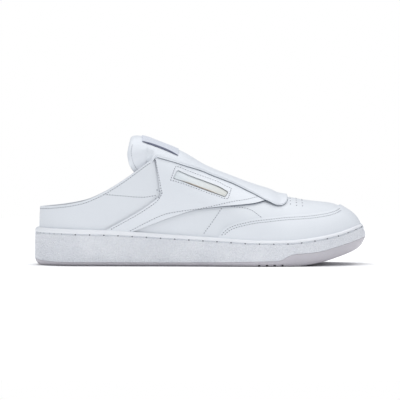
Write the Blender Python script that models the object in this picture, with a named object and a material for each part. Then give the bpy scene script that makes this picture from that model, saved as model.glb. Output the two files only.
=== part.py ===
"""A slip-on leather court sneaker mule, right shoe, standing empty on its sole.

Axes: +X towards the toe, +Y towards the inner side of the foot, +Z up, in metres.
The origin lies on the floor, under the middle of the sole.

Everything follows two forms. The plan is the sole's outline from above, and each ring of the
sole is that plan drawn in by some distance. The last is the dome that rises from the plan to
a ridge along the instep, and the upper and all that lies on it are layers of that dome.
"""
import math
from collections import namedtuple

import bpy
from mathutils import Vector

# Sizes of the plan
SHOE_LENGTH = 0.298
BALL_WIDTH = 0.108
HEEL_WIDTH = 0.075
HEEL_ROUND_LENGTH = 0.039
TOE_ROUND_LENGTH = 0.0745

# Heights of the sole above the floor
HEEL_LIP_HEIGHT = 0.0342
BALL_LIP_HEIGHT = 0.0232
TOE_LIP_HEIGHT = 0.038
TOE_SPRING = 0.020
OUTSOLE_THICKNESS = 0.0032
HEEL_BUMPER_RISE = 0.0022
TOE_BUMPER_HEIGHT = 0.0252

# Sizes of the sole's wall, rim and tread
TOE_DRAFT = 0.0024
RIM_DEPTH = 0.0095
STITCH_CHANNEL_DROP = 0.0040
STITCH_CHANNEL_WIDTH = 0.0011
STITCH_CHANNEL_DEPTH = 0.0009
GROOVE_WIDTH = 0.0021
GROOVE_DEPTH = 0.0018
GROOVE_PITCH = 0.0069
GROOVE_END_MARGIN = 0.011

# Sizes of the last and the upper
UPPER_INSET = 0.0038
THROAT_HEIGHT = 0.1066
TOE_BOX_HEIGHT = 0.0560
HEEL_RIDGE_INSET = 0.046
TOE_RIDGE_INSET = 0.037
LEATHER_WALL = 0.0022
OVERLAY_THICKNESS = 0.0013
THROAT_SLOT_WIDTH = 0.024
THROAT_SLOT_FRONT = 0.038
THROAT_EDGE_MARGIN = 0.002
THROAT_CUT_LEAN = 0.008

# Sizes of the tongue, the label, the window and the insole
TONGUE_EDGE_THICKNESS = 0.0022
TONGUE_CROWN_THICKNESS = 0.0031
TAB_THICKNESS = 0.0024
TONGUE_PAD_THICKNESS = 0.0068
TONGUE_HEAD_ROUNDING = 0.006
TONGUE_FOLD_START = 0.002
TONGUE_FOLD_LENGTH = 0.0065
TONGUE_FOLD_MARGIN = 0.0014
LABEL_THICKNESS = 0.0006
LABEL_WIDTH = 0.034
WINDOW_THICKNESS = 0.0005
INSOLE_THICKNESS = 0.0048

# Clearances between neighbours
GAP = 0.0003
RIM_CLEARANCE = 0.0005

# How finely the surfaces are drawn
STATIONS = 32
DOME_STEPS = 12
COLLAR_POINTS = 22
LIP_POINTS = 30

PlanRow = namedtuple("PlanRow", "along spread centre")
PLAN = [
    PlanRow(0.00, 0.00, 0.000),
    PlanRow(0.20, 0.02, -0.004),
    PlanRow(0.30, 0.06, -0.014),
    PlanRow(0.40, 0.14, -0.024),
    PlanRow(0.50, 0.33, -0.030),
    PlanRow(0.60, 0.68, -0.024),
    PlanRow(0.68, 0.93, -0.010),
    PlanRow(0.76, 1.00, 0.012),
    PlanRow(0.86, 1.00, 0.045),
    PlanRow(1.00, 1.00, 0.100),
]

SoleRow = namedtuple("SoleRow", "along heel toe spring bumper")
SOLE = [
    SoleRow(0.00, 1.00, 0.00, 0.00, 0.00),
    SoleRow(0.11, 0.88, 0.00, 0.00, 0.00),
    SoleRow(0.22, 0.80, 0.00, 0.00, 0.00),
    SoleRow(0.29, 0.70, 0.00, 0.00, 0.00),
    SoleRow(0.42, 0.46, 0.00, 0.00, 0.00),
    SoleRow(0.56, 0.21, 0.00, 0.00, 0.02),
    SoleRow(0.65, 0.04, 0.00, 0.00, 0.05),
    SoleRow(0.73, 0.00, 0.00, 0.00, 0.08),
    SoleRow(0.775, 0.00, 0.03, 0.00, 0.34),
    SoleRow(0.845, 0.00, 0.19, 0.12, 0.42),
    SoleRow(0.915, 0.00, 0.46, 0.40, 0.65),
    SoleRow(0.970, 0.00, 0.81, 0.70, 0.87),
    SoleRow(1.00, 0.00, 1.00, 1.00, 1.00),
]

RidgeRow = namedtuple("RidgeRow", "along height side")
RIDGE = [
    RidgeRow(0.15, 1.107, 0.000),
    RidgeRow(0.25, 1.107, 0.000),
    RidgeRow(0.30, 1.097, 0.002),
    RidgeRow(0.33, 1.069, 0.004),
    RidgeRow(0.362, 1.000, 0.006),
    RidgeRow(0.438, 0.818, 0.014),
    RidgeRow(0.510, 0.573, 0.022),
    RidgeRow(0.583, 0.397, 0.030),
    RidgeRow(0.656, 0.239, 0.036),
    RidgeRow(0.701, 0.164, 0.040),
    RidgeRow(0.728, 0.118, 0.043),
    RidgeRow(0.768, 0.089, 0.048),
    RidgeRow(0.819, 0.038, 0.058),
    RidgeRow(0.876, 0.000, 0.072),
]

SectionRow = namedtuple("SectionRow", "along rise crown")
SECTION = [
    SectionRow(0.00, 0.70, 0.72),
    SectionRow(0.29, 0.75, 0.82),
    SectionRow(0.50, 0.64, 0.64),
    SectionRow(0.62, 0.56, 0.53),
    SectionRow(0.80, 0.49, 0.43),
    SectionRow(0.90, 0.50, 0.45),
    SectionRow(1.00, 0.56, 0.50),
]

# Lines drawn on the upper's side: "up" is the share of the height from the sole's lip to the ridge
SideRow = namedtuple("SideRow", "along up")
COLLAR = [
    SideRow(0.013, 0.236),
    SideRow(0.075, 0.262),
    SideRow(0.148, 0.315),
    SideRow(0.202, 0.402),
    SideRow(0.257, 0.528),
    SideRow(0.308, 0.672),
    SideRow(0.362, 0.860),
]
TOE_OVERLAY_LINE = [
    SideRow(0.553, 0.00),
    SideRow(0.566, 0.12),
    SideRow(0.595, 0.25),
    SideRow(0.652, 0.39),
    SideRow(0.700, 0.47),
    SideRow(0.755, 0.55),
    SideRow(0.830, 0.62),
    SideRow(0.885, 0.70),
    SideRow(0.912, 0.79),
    SideRow(0.934, 1.00),
]
OVERLAY_REAR_EDGE = [
    SideRow(0.218, 0.00),
    SideRow(0.282, 0.145),
    SideRow(0.325, 0.250),
    SideRow(0.366, 0.385),
    SideRow(0.380, 0.450),
    SideRow(0.378, 0.520),
    SideRow(0.369, 0.720),
    SideRow(0.362, 0.865),
    SideRow(0.376, 0.980),
    SideRow(0.389, 1.200),
]
OVERLAY_LOWER_EDGE = [
    SideRow(0.300, 0.00),
    SideRow(0.373, 0.130),
    SideRow(0.429, 0.240),
    SideRow(0.485, 0.365),
    SideRow(0.554, 0.495),
    SideRow(0.652, 0.690),
    SideRow(0.698, 0.830),
]
STRIP_EDGE = [
    SideRow(0.362, 0.860),
    SideRow(0.443, 0.880),
    SideRow(0.512, 0.940),
    SideRow(0.582, 0.935),
    SideRow(0.652, 0.880),
    SideRow(0.697, 0.800),
    SideRow(0.728, 0.770),
    SideRow(0.747, 0.800),
    SideRow(0.758, 0.880),
    SideRow(0.766, 1.10),
]
TONGUE_HEAD_EDGE = [
    SideRow(0.318, 1.095),
    SideRow(0.306, 1.068),
    SideRow(0.296, 1.045),
    SideRow(0.289, 1.000),
    SideRow(0.284, 0.918),
    SideRow(0.281, 0.835),
    SideRow(0.286, 0.745),
    SideRow(0.296, 0.690),
    SideRow(0.312, 0.640),
    SideRow(0.330, 0.610),
]
WINDOW_TOP = [
    SideRow(0.431, 0.815),
    SideRow(0.470, 0.820),
    SideRow(0.514, 0.845),
    SideRow(0.556, 0.840),
    SideRow(0.584, 0.800),
]
WINDOW_BOTTOM = [
    SideRow(0.417, 0.690),
    SideRow(0.450, 0.690),
    SideRow(0.512, 0.705),
    SideRow(0.560, 0.695),
    SideRow(0.574, 0.690),
]

LABEL_BACK = 0.320
LABEL_FRONT = 0.427


def between(low, high, share):
    """The value at a share of the way from low to high."""
    return low + (high - low) * share


def ramp(value, start, end):
    """0 before start, 1 past end, and a smooth rise from one to the other."""
    share = min(1.0, max(0.0, (value - start) / (end - start)))
    return share * share * (3.0 - 2.0 * share)


def read(table, column, along):
    """A column of a table at a place along it, on a smooth curve that never overshoots its rows."""
    keys = [row.along for row in table]
    values = [getattr(row, column) for row in table]
    along = min(max(along, keys[0]), keys[-1])
    slopes = [(values[i + 1] - values[i]) / (keys[i + 1] - keys[i]) for i in range(len(keys) - 1)]

    def tangent(i):
        if i == 0 or i == len(keys) - 1:
            return slopes[0] if i == 0 else slopes[-1]
        if slopes[i - 1] * slopes[i] <= 0.0:
            return 0.0
        return 2.0 * slopes[i - 1] * slopes[i] / (slopes[i - 1] + slopes[i])

    i = max(k for k in range(len(keys) - 1) if keys[k] <= along)
    span = keys[i + 1] - keys[i]
    t = (along - keys[i]) / span
    return (
        (2 * t ** 3 - 3 * t ** 2 + 1) * values[i]
        + (t ** 3 - 2 * t ** 2 + t) * span * tangent(i)
        + (3 * t ** 2 - 2 * t ** 3) * values[i + 1]
        + (t ** 3 - t ** 2) * span * tangent(i + 1)
    )


def share_along(x):
    """How far x is from heel to toe, as a share of the shoe's length."""
    return x / SHOE_LENGTH + 0.5


def half_width(share):
    """Half the plan's width at a share of the length, rounded off at heel and toe."""
    width = between(HEEL_WIDTH, BALL_WIDTH, read(PLAN, "spread", share)) / 2
    heel_share = HEEL_ROUND_LENGTH / SHOE_LENGTH
    toe_share = TOE_ROUND_LENGTH / SHOE_LENGTH
    off_end = max((heel_share - share) / heel_share, (share - 1 + toe_share) / toe_share, 0.0)
    return width * math.sqrt(max(0.0, 1.0 - off_end ** 2))


def plan_point(share, side, inset, draft=0.0):
    """The plan's edge at a share of its length, drawn in by inset. side is -1 outer, +1 inner."""
    front = SHOE_LENGTH / 2 - inset - TOE_DRAFT * draft
    x = between(-SHOE_LENGTH / 2 + inset, front, share)
    full = between(HEEL_WIDTH, BALL_WIDTH, read(PLAN, "spread", share)) / 2
    half = half_width(share) * (1.0 - inset / full)
    return x, read(PLAN, "centre", share) * BALL_WIDTH + side * half


def lip_height(x):
    """Height of the sole's lip, the line where the upper comes out of the sole."""
    share = share_along(x)
    heel = (HEEL_LIP_HEIGHT - BALL_LIP_HEIGHT) * read(SOLE, "heel", share)
    toe = (TOE_LIP_HEIGHT - BALL_LIP_HEIGHT) * read(SOLE, "toe", share)
    return BALL_LIP_HEIGHT + heel + toe


def tread_height(x):
    """Height of the outsole's underside: flat, then rising at the toe."""
    return TOE_SPRING * read(SOLE, "spring", share_along(x))


def bumper_height(x):
    """Height of the line between outsole and cupsole, which climbs round the toe."""
    share = share_along(x)
    toe = (TOE_BUMPER_HEIGHT - OUTSOLE_THICKNESS) * read(SOLE, "bumper", share)
    heel = HEEL_BUMPER_RISE * max(0.0, 1.0 - share / 0.10) ** 2
    return OUTSOLE_THICKNESS + toe + heel


def seat_height(x):
    """Height of the floor inside the sole's rim, where upper and insole sit."""
    return lip_height(x) - RIM_DEPTH


def ridge_height(x):
    """Height of the last's ridge, the line along the instep."""
    return between(TOE_BOX_HEIGHT, THROAT_HEIGHT, read(RIDGE, "height", share_along(x)))


def station_share(step):
    """Share of the length at a step, with the steps crowded at heel and toe."""
    return (1.0 - math.cos(math.pi * step)) / 2


def dome_point(step, across):
    """A point on the last's outer surface.

    step runs from heel (0) to toe (1), across from the outer edge (-1) over the ridge (0) to
    the inner edge (1). Past either end the surface comes back on the other side.
    """
    if step < 0.0 or step > 1.0:
        return dome_point(-step if step < 0.0 else 2.0 - step, -across)
    share = station_share(step)
    side = -1.0 if across < 0.0 else 1.0
    x, y = plan_point(share, side, UPPER_INSET, 1.0)
    foot = Vector((x, y, seat_height(x) + GAP))
    ridge_back = -SHOE_LENGTH / 2 + HEEL_RIDGE_INSET
    ridge_front = SHOE_LENGTH / 2 - TOE_RIDGE_INSET
    ridge_x = between(ridge_back, ridge_front, share)
    ridge_y = read(RIDGE, "side", share_along(ridge_x)) * BALL_WIDTH
    ridge = Vector((ridge_x, ridge_y, ridge_height(ridge_x)))
    step_x = 0.002
    slope = (ridge_height(ridge_x + step_x) - ridge_height(ridge_x - step_x)) / (2 * step_x)
    rise = read(SECTION, "rise", share)
    crown = read(SECTION, "crown", share)
    wall_handle = foot + Vector((0, 0, (ridge.z - foot.z) * rise))
    crown_run = (foot - ridge) * crown
    crown_handle = ridge + Vector((crown_run.x, crown_run.y, crown_run.x * slope))
    t = 1.0 - abs(across)
    return (
        foot * (1 - t) ** 3
        + wall_handle * 3 * t * (1 - t) ** 2
        + crown_handle * 3 * t ** 2 * (1 - t)
        + ridge * t ** 3
    )


def layer_point(step, across, offset):
    """A point of the dome moved out along its normal. offset is a distance, or a function of x and up."""
    nudge = 0.004
    edge = max(-1.0, min(1.0, across))
    along = dome_point(step + nudge, edge) - dome_point(step - nudge, edge)
    low, high = max(-1.0, edge - nudge), min(1.0, edge + nudge)
    over = dome_point(step, high) - dome_point(step, low)
    normal = over.cross(along).normalized() * -1.0
    point = dome_point(step, edge)
    distance = offset(point) if callable(offset) else offset
    return point + normal * distance


def side_point(row):
    """Side-view place (x, z) of a row whose height is a share from the lip to the ridge."""
    x = (row.along - 0.5) * SHOE_LENGTH
    return x, between(lip_height(x), ridge_height(x), row.up)


def side_curve(rows):
    """Side-view points on a smooth curve through the rows."""
    points = [Vector(side_point(row)) for row in rows]
    points = [points[0] * 2 - points[1]] + points + [points[-1] * 2 - points[-2]]
    curve = []
    for i in range(1, len(points) - 2):
        before, start, end, after = points[i - 1:i + 3]
        for k in range(4):
            t = k / 4
            curve.append(0.5 * (
                2 * start + (end - before) * t
                + (2 * before - 5 * start + 4 * end - after) * t ** 2
                + (3 * start - before - 3 * end + after) * t ** 3
            ))
    return curve + [points[-2]]


def make_piece(name, vertices, faces, colour, roughness=0.5, metallic=0.0):
    """Makes a named object with its own material from vertices and faces."""
    mesh = bpy.data.meshes.new(name)
    mesh.from_pydata([tuple(v) for v in vertices], [], faces)
    mesh.validate()
    mesh.update()
    material = bpy.data.materials.new(name)
    material.use_nodes = True
    shader = material.node_tree.nodes["Principled BSDF"]
    shader.inputs["Base Color"].default_value = (*colour, 1.0)
    shader.inputs["Roughness"].default_value = roughness
    shader.inputs["Metallic"].default_value = metallic
    mesh.materials.append(material)
    mesh.shade_smooth()
    mesh.set_sharp_from_angle(angle=math.radians(40))
    piece = bpy.data.objects.new(name, mesh)
    bpy.context.collection.objects.link(piece)
    return piece


def cut(piece, cutter, operation):
    """Adds a Boolean of the cutter to the piece and hides the cutter."""
    boolean = piece.modifiers.new(cutter.name, "BOOLEAN")
    boolean.object = cutter
    boolean.operation = operation
    boolean.solver = "EXACT"
    cutter.hide_render = True
    cutter.display_type = "WIRE"


def prism(name, outline, low, high, axis="Y"):
    """A cutter: an outline extruded from low to high along Y (outline in X, Z) or Z (in X, Y)."""
    def place(point, level):
        return (point[0], level, point[1]) if axis == "Y" else (point[0], point[1], level)

    count = len(outline)
    area = sum(
        outline[i][0] * outline[(i + 1) % count][1] - outline[(i + 1) % count][0] * outline[i][1]
        for i in range(count)
    )
    turn = (area > 0) == (axis == "Y")
    vertices = [place(p, low) for p in outline] + [place(p, high) for p in outline]
    first = list(range(count))
    last = [count + i for i in first]
    faces = [first if turn else first[::-1], last[::-1] if turn else last]
    for i in first:
        after = (i + 1) % count
        wall = [i, count + i, count + after, after]
        faces.append(wall if turn else wall[::-1])
    return make_piece(name, vertices, faces, (1.0, 0.2, 0.2))


def ring_stack(name, rings, colour, roughness):
    """A closed solid from rings of the plan, first ring at the bottom, last at the top.

    Each ring is (inset, draft, height function). Both ends are closed by rungs from side to
    side, so a rising sole stays one smooth ramp.
    """
    count = 2 * STATIONS
    vertices = []
    for inset, draft, height in rings:
        for i in range(count):
            side = -1 if i <= STATIONS else 1
            step = i / STATIONS if i <= STATIONS else (count - i) / STATIONS
            x, y = plan_point(station_share(step), side, inset, draft)
            vertices.append((x, y, height(x)))
    faces = []
    for k in range(len(rings) - 1):
        for i in range(count):
            j = (i + 1) % count
            faces.append([k * count + i, k * count + j, (k + 1) * count + j, (k + 1) * count + i])
    top = (len(rings) - 1) * count
    for base, flip in ((0, True), (top, False)):
        for i in range(STATIONS):
            rung = [base + i, base + i + 1, base + (count - i - 1) % count, base + (count - i) % count]
            rung = list(dict.fromkeys(rung))
            faces.append(rung[::-1] if flip else rung)
    return make_piece(name, vertices, faces, colour, roughness)


def tread_grooves():
    """Cutters for the grooves across the tread: four run out at both sides, the rest end inside."""
    through = [0.674 + i * GROOVE_PITCH / SHOE_LENGTH for i in range(4)]
    ball = [0.674 + i * GROOVE_PITCH / SHOE_LENGTH for i in (-5, -4, -3, -2, 5, 6, 7)]
    heel = [0.115 + i * GROOVE_PITCH / SHOE_LENGTH for i in range(8)]
    for number, share in enumerate(through + ball + heel):
        x = (share - 0.5) * SHOE_LENGTH
        margin = -0.004 if share in through else GROOVE_END_MARGIN
        low, high = plan_point(share, -1, margin)[1], plan_point(share, 1, margin)[1]
        top = tread_height(x) + GROOVE_DEPTH
        outline = [
            (x - GROOVE_WIDTH / 2, -0.004),
            (x + GROOVE_WIDTH / 2, -0.004),
            (x + GROOVE_WIDTH / 2, top - GROOVE_WIDTH / 4),
            (x + GROOVE_WIDTH / 4, top),
            (x - GROOVE_WIDTH / 4, top),
            (x - GROOVE_WIDTH / 2, top - GROOVE_WIDTH / 4),
        ]
        yield prism(f"groove_cutter_{number}", outline, low, high)


def make_outsole():
    """The grey rubber outsole: a bevelled slab that turns up as a bumper round the toe."""
    rings = [
        (0.0052, 0.0, tread_height),
        (0.0026, 0.0, lambda x: tread_height(x) + 0.25 * (bumper_height(x) - tread_height(x))),
        (0.0010, 0.0, lambda x: tread_height(x) + 0.60 * (bumper_height(x) - tread_height(x))),
        (0.0004, 0.0, bumper_height),
    ]
    outsole = ring_stack("outsole", rings, (0.46, 0.44, 0.48), 0.45)
    for cutter in tread_grooves():
        cut(outsole, cutter, "DIFFERENCE")
    return outsole


def make_cupsole():
    """The white rubber cup: a textured wall with a stitch channel and a rounded lip."""
    def channel(x):
        return lip_height(x) - STITCH_CHANNEL_DROP * between(0.8, 1.25, read(SOLE, "heel", share_along(x)))

    half_channel = STITCH_CHANNEL_WIDTH / 2
    rings = [
        (0.0004, 0.0, lambda x: bumper_height(x) + GAP),
        (0.0000, 0.0, lambda x: between(bumper_height(x), lip_height(x), 0.12)),
        (0.0001, 0.2, lambda x: between(bumper_height(x), lip_height(x), 0.40)),
        (0.0003, 0.6, lambda x: channel(x) - half_channel * 2),
        (0.0003 + STITCH_CHANNEL_DEPTH, 0.7, lambda x: channel(x) - half_channel),
        (0.0004 + STITCH_CHANNEL_DEPTH, 0.8, lambda x: channel(x) + half_channel),
        (0.0005, 0.8, lambda x: channel(x) + half_channel * 2),
        (0.0010, 0.9, lambda x: lip_height(x) - 0.0016),
        (0.0018, 1.0, lambda x: lip_height(x) - 0.0004),
        (0.0025, 1.0, lip_height),
        (UPPER_INSET - RIM_CLEARANCE, 1.0, lambda x: lip_height(x) - 0.0002),
        (UPPER_INSET - RIM_CLEARANCE, 1.0, seat_height),
    ]
    return ring_stack("cupsole", rings, (0.82, 0.83, 0.86), 0.5)


def make_insole():
    """The sock-lined insole on the seat, with its edge raised a little round the foot."""
    edge = UPPER_INSET + LEATHER_WALL + 2 * GAP
    rings = [
        (edge + 0.0016, 1.0, lambda x: seat_height(x) + GAP),
        (edge, 1.0, lambda x: seat_height(x) + GAP + 0.0014),
        (edge, 1.0, lambda x: seat_height(x) + GAP + INSOLE_THICKNESS),
        (edge + 0.0022, 1.0, lambda x: seat_height(x) + GAP + INSOLE_THICKNESS + 0.0010),
        (edge + 0.0090, 1.0, lambda x: seat_height(x) + GAP + INSOLE_THICKNESS),
    ]
    return ring_stack("insole", rings, (0.80, 0.80, 0.80), 0.8)


def dome_shell(name, inner, outer, steps, columns, colour, roughness=0.42):
    """A closed layer of the last between two offsets.

    steps run along the last from heel (0) to toe (1), columns from the outer edge (-1) over
    the ridge (0) to the inner edge (1). A layer that reaches heel or toe from edge to edge is
    closed round that end.
    """
    whole = columns[0] == -1.0 and columns[-1] == 1.0
    closed_heel = whole and steps[0] == 0.0
    closed_toe = whole and steps[-1] == 1.0
    vertices, index, faces = [], {}, []

    def vertex(skin, i, j):
        folded = (i == 0 and closed_heel) or (i == len(steps) - 1 and closed_toe)
        across = -abs(columns[j]) if folded else columns[j]
        key = (skin, i, across)
        if key not in index:
            index[key] = len(vertices)
            vertices.append(layer_point(steps[i], across, outer if skin else inner))
        return index[key]

    def face(corners, turned=False):
        corners = list(dict.fromkeys(corners))
        if len(corners) > 2:
            faces.append(corners[::-1] if turned else corners)

    for i in range(len(steps) - 1):
        for j in range(len(columns) - 1):
            for skin, turned in ((1, False), (0, True)):
                face([vertex(skin, i, j), vertex(skin, i + 1, j),
                      vertex(skin, i + 1, j + 1), vertex(skin, i, j + 1)], turned)
        for j, turned in ((0, False), (len(columns) - 1, True)):
            face([vertex(0, i, j), vertex(0, i + 1, j), vertex(1, i + 1, j), vertex(1, i, j)], turned)
    for j in range(len(columns) - 1):
        for i, turned, closed in ((0, True, closed_heel), (len(steps) - 1, False, closed_toe)):
            if not closed:
                face([vertex(0, i, j), vertex(0, i, j + 1), vertex(1, i, j + 1), vertex(1, i, j)], turned)
    return make_piece(name, vertices, faces, colour, roughness)


def last_steps(first=0.0, last=1.0, fine_from=1.0, fine_to=1.0, parts=1):
    """Steps along the last on its stations, with each station gap split in a finer stretch."""
    steps = []
    for i in range(round(first * STATIONS), round(last * STATIONS)):
        split = parts if fine_from <= i / STATIONS < fine_to else 1
        steps += [(i + k / split) / STATIONS for k in range(split)]
    return steps + [round(last * STATIONS) / STATIONS]


def last_columns(low=-1.0, high=1.0, fine_from=1.0, fine_to=1.0):
    """Columns across the last, with each gap halved where a column's share is in a finer range."""
    columns = []
    for j in range(round(low * DOME_STEPS), round(high * DOME_STEPS)):
        columns.append(j / DOME_STEPS)
        if fine_from <= abs(j + 0.5) / DOME_STEPS <= fine_to:
            columns.append((j + 0.5) / DOME_STEPS)
    return columns + [round(high * DOME_STEPS) / DOME_STEPS]


def collar_corner():
    """Side-view place where collar, throat and tongue meet."""
    x = (COLLAR[-1].along - 0.5) * SHOE_LENGTH
    return x, collar_height(x)


def collar_height(x):
    """Height of the collar's edge."""
    return between(lip_height(x), ridge_height(x), read(COLLAR, "up", share_along(x)))


def collar_line(first, last, lift=0.0):
    """Side-view points along the collar's edge from one x to another."""
    xs = [between(first, last, i / COLLAR_POINTS) for i in range(COLLAR_POINTS + 1)]
    return [(x, collar_height(x) + lift) for x in xs]


def lip_line(first, last):
    """Side-view points just above the sole's lip, from one x to another."""
    xs = [between(first, last, i / LIP_POINTS) for i in range(LIP_POINTS + 1)]
    return [(x, lip_height(x) + RIM_CLEARANCE) for x in xs]


def throat_middle(x):
    """Where the middle of the throat lies across the shoe."""
    return read(RIDGE, "side", share_along(x)) * BALL_WIDTH


def make_upper():
    """The leather upper: one hollow wall, open under the foot, at the collar and at the throat."""
    upper = dome_shell("upper", -LEATHER_WALL, 0.0, last_steps(), last_columns(), (0.80, 0.82, 0.85))
    corner_x, corner_z = collar_corner()
    behind, above = -SHOE_LENGTH, THROAT_HEIGHT * 2
    heel_x = -SHOE_LENGTH / 2
    outline = [(behind, collar_height(heel_x)), *collar_line(heel_x, corner_x)]
    outline += [(corner_x + THROAT_CUT_LEAN * 0.6, corner_z + THROAT_CUT_LEAN),
                (corner_x + THROAT_CUT_LEAN, above), (behind, above)]
    cut(upper, prism("collar_cutter", outline, -BALL_WIDTH, BALL_WIDTH), "DIFFERENCE")
    half = THROAT_SLOT_WIDTH / 2
    back, front = corner_x - THROAT_SLOT_WIDTH, THROAT_SLOT_FRONT
    slot = [(back, throat_middle(corner_x) - half)]
    for k in range(7):
        angle = math.pi * k / 6
        slot.append((front + half * math.sin(angle), throat_middle(front) - half * math.cos(angle)))
    slot.append((back, throat_middle(corner_x) + half))
    cut(upper, prism("throat_cutter", slot, BALL_LIP_HEIGHT * 2, above, "Z"), "DIFFERENCE")
    return upper


def make_toe_overlay():
    """The overlay that wraps the toe and the ball, from the sole's lip up to its stitched line."""
    line = [(p.x, p.y) for p in side_curve(TOE_OVERLAY_LINE)]
    overlay = dome_shell("toe_overlay", GAP, GAP + OVERLAY_THICKNESS,
                         last_steps(first=0.5), last_columns(), (0.82, 0.84, 0.87))
    front = SHOE_LENGTH / 2
    outline = line + [(front, line[-1][1] + OVERLAY_THICKNESS)]
    outline += lip_line(line[0][0], front)[::-1][:-1]
    cut(overlay, prism("toe_overlay_cutter", outline, -BALL_WIDTH, BALL_WIDTH), "INTERSECT")
    return overlay


def side_overlay_outline():
    """Side-view outline of the quarter overlay: leg, sweeping lower edge, throat and rear edge."""
    rear = [(p.x, p.y) for p in side_curve(OVERLAY_REAR_EDGE)]
    lower = [(p.x, p.y) for p in side_curve(OVERLAY_LOWER_EDGE)]
    above = THROAT_HEIGHT * 2
    foot = lip_line(rear[0][0], lower[0][0])
    return foot + lower[1:] + [(lower[-1][0], above), (rear[-1][0], above)] + rear[::-1][:-1]


def window_outline(inset):
    """Side-view outline of the window in the outer overlay, drawn in by inset."""
    top = [Vector((p.x, p.y - inset)) for p in side_curve(WINDOW_TOP)]
    bottom = [Vector((p.x, p.y + inset)) for p in side_curve(WINDOW_BOTTOM)]
    for edge in (top, bottom):
        edge[0].x += inset
        edge[-1].x -= inset
    return [(p.x, p.y) for p in top + bottom[::-1]]


def make_side_overlay(name, side):
    """One quarter overlay, from the sole up to the edge of the throat. side is -1 outer, +1 inner."""
    columns = last_columns(-1.0, 0.0) if side < 0 else last_columns(0.0, 1.0)
    overlay = dome_shell(name, GAP, GAP + OVERLAY_THICKNESS,
                         last_steps(0.22, 0.72), columns, (0.80, 0.83, 0.85))
    throat_edge = throat_middle(0.0) + side * (THROAT_SLOT_WIDTH / 2 + THROAT_EDGE_MARGIN)
    low, high = sorted((side * BALL_WIDTH, throat_edge))
    cut(overlay, prism(name + "_cutter", side_overlay_outline(), low, high), "INTERSECT")
    return overlay


def make_window(overlay):
    """The window through the outer overlay and the pearly insert that lies in it."""
    cut(overlay, prism("window_cutter", window_outline(0.0), -BALL_WIDTH, 0.0), "DIFFERENCE")
    insert = dome_shell("window_insert", GAP, GAP + WINDOW_THICKNESS,
                        last_steps(0.36, 0.66), last_columns(-1.0, 0.0), (0.80, 0.82, 0.78), 0.2)
    cut(insert, prism("insert_cutter", window_outline(GAP), -BALL_WIDTH, 0.0), "INTERSECT")
    return insert


def strip_rest(point):
    """Distance from the last to the strip's underside: over the overlays, then down on the vamp."""
    return between(GAP * 2 + OVERLAY_THICKNESS, GAP, ramp(share_along(point.x), 0.724, 0.742))


def strip_top(point):
    """Distance from the last to the strip's outer face: padded, then thin at the tab and edges."""
    share = share_along(point.x)
    crown = between(TONGUE_CROWN_THICKNESS, TAB_THICKNESS, ramp(share, 0.690, 0.722))
    lean = min(1.0, abs(point.y - throat_middle(point.x)) / (BALL_WIDTH * 0.26))
    return strip_rest(point) + between(crown, TONGUE_EDGE_THICKNESS, lean ** 2)


def head_blend(point):
    """0 on the strip, 1 on the tongue's head, which dips inside the collar."""
    corner_x = collar_corner()[0]
    return ramp(corner_x - point.x, TONGUE_FOLD_START, TONGUE_FOLD_LENGTH)


def head_edge_share(point):
    """0 at the rim of the tongue's head, 1 once the pad has its full thickness."""
    place = Vector((point.x, point.z))
    return min(1.0, min((place - rim).length for rim in side_curve(TONGUE_HEAD_EDGE)) / TONGUE_HEAD_ROUNDING)


def tongue_top(point):
    """Distance from the last to the tongue's outer face."""
    strip = strip_top(point)
    blend = head_blend(point)
    if blend == 0.0:
        return strip
    above_collar = point.z - collar_height(point.x)
    behind = ramp(collar_corner()[0] - point.x, 0.0, LABEL_WIDTH / 2)
    tucked = -LEATHER_WALL - 2 * GAP
    head = between(tucked, strip, ramp(above_collar, RIM_CLEARANCE * 2, between(0.006, 0.015, behind)))
    head -= TONGUE_EDGE_THICKNESS * 0.8 * (1.0 - head_edge_share(point)) ** 2
    return between(strip, head, blend)


def tongue_back(point):
    """Distance from the last to the tongue's lining face."""
    blend = head_blend(point)
    if blend == 0.0:
        return strip_rest(point)
    top = tongue_top(point)
    pad = between(TONGUE_EDGE_THICKNESS, TONGUE_PAD_THICKNESS, math.sqrt(head_edge_share(point)))
    return min(between(strip_rest(point), top - pad, blend), top - TONGUE_EDGE_THICKNESS)


def make_tongue():
    """The padded tongue: its head stands out of the collar, and its long strip runs down over the
    throat and the overlays to a rounded tab on the vamp."""
    tongue = dome_shell("tongue", tongue_back, tongue_top, TONGUE_STEPS, TONGUE_COLUMNS,
                        (0.84, 0.86, 0.90))
    corner_x, corner_z = collar_corner()
    fold_x = corner_x - TONGUE_FOLD_LENGTH - TONGUE_FOLD_MARGIN
    head = [(p.x, p.y) for p in side_curve(TONGUE_HEAD_EDGE)]
    strip = [(p.x, p.y) for p in side_curve(STRIP_EDGE)]
    above = THROAT_HEIGHT * 1.5
    outline = head + [(fold_x, head[-1][1])] + collar_line(fold_x, corner_x, RIM_CLEARANCE)
    outline += strip[1:] + [(strip[-1][0], above), (head[0][0], above)]
    cut(tongue, prism("tongue_cutter", outline, -BALL_WIDTH, BALL_WIDTH), "INTERSECT")
    return tongue


def make_tongue_label():
    """The woven label on top of the tongue's head."""
    label = dome_shell(
        "tongue_label",
        lambda point: tongue_top(point) + GAP,
        lambda point: tongue_top(point) + GAP + LABEL_THICKNESS,
        TONGUE_STEPS[:LABEL_STEPS], TONGUE_COLUMNS, (0.70, 0.72, 0.80), 0.7)
    middle = throat_middle(collar_corner()[0])
    back, front = ((along - 0.5) * SHOE_LENGTH for along in (LABEL_BACK, LABEL_FRONT))
    outline = [(back, middle - LABEL_WIDTH / 2), (front, middle - LABEL_WIDTH / 2),
               (front, middle + LABEL_WIDTH / 2), (back, middle + LABEL_WIDTH / 2)]
    cut(label, prism("label_cutter", outline, THROAT_HEIGHT * 0.8, THROAT_HEIGHT * 1.5, "Z"), "INTERSECT")
    return label


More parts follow.
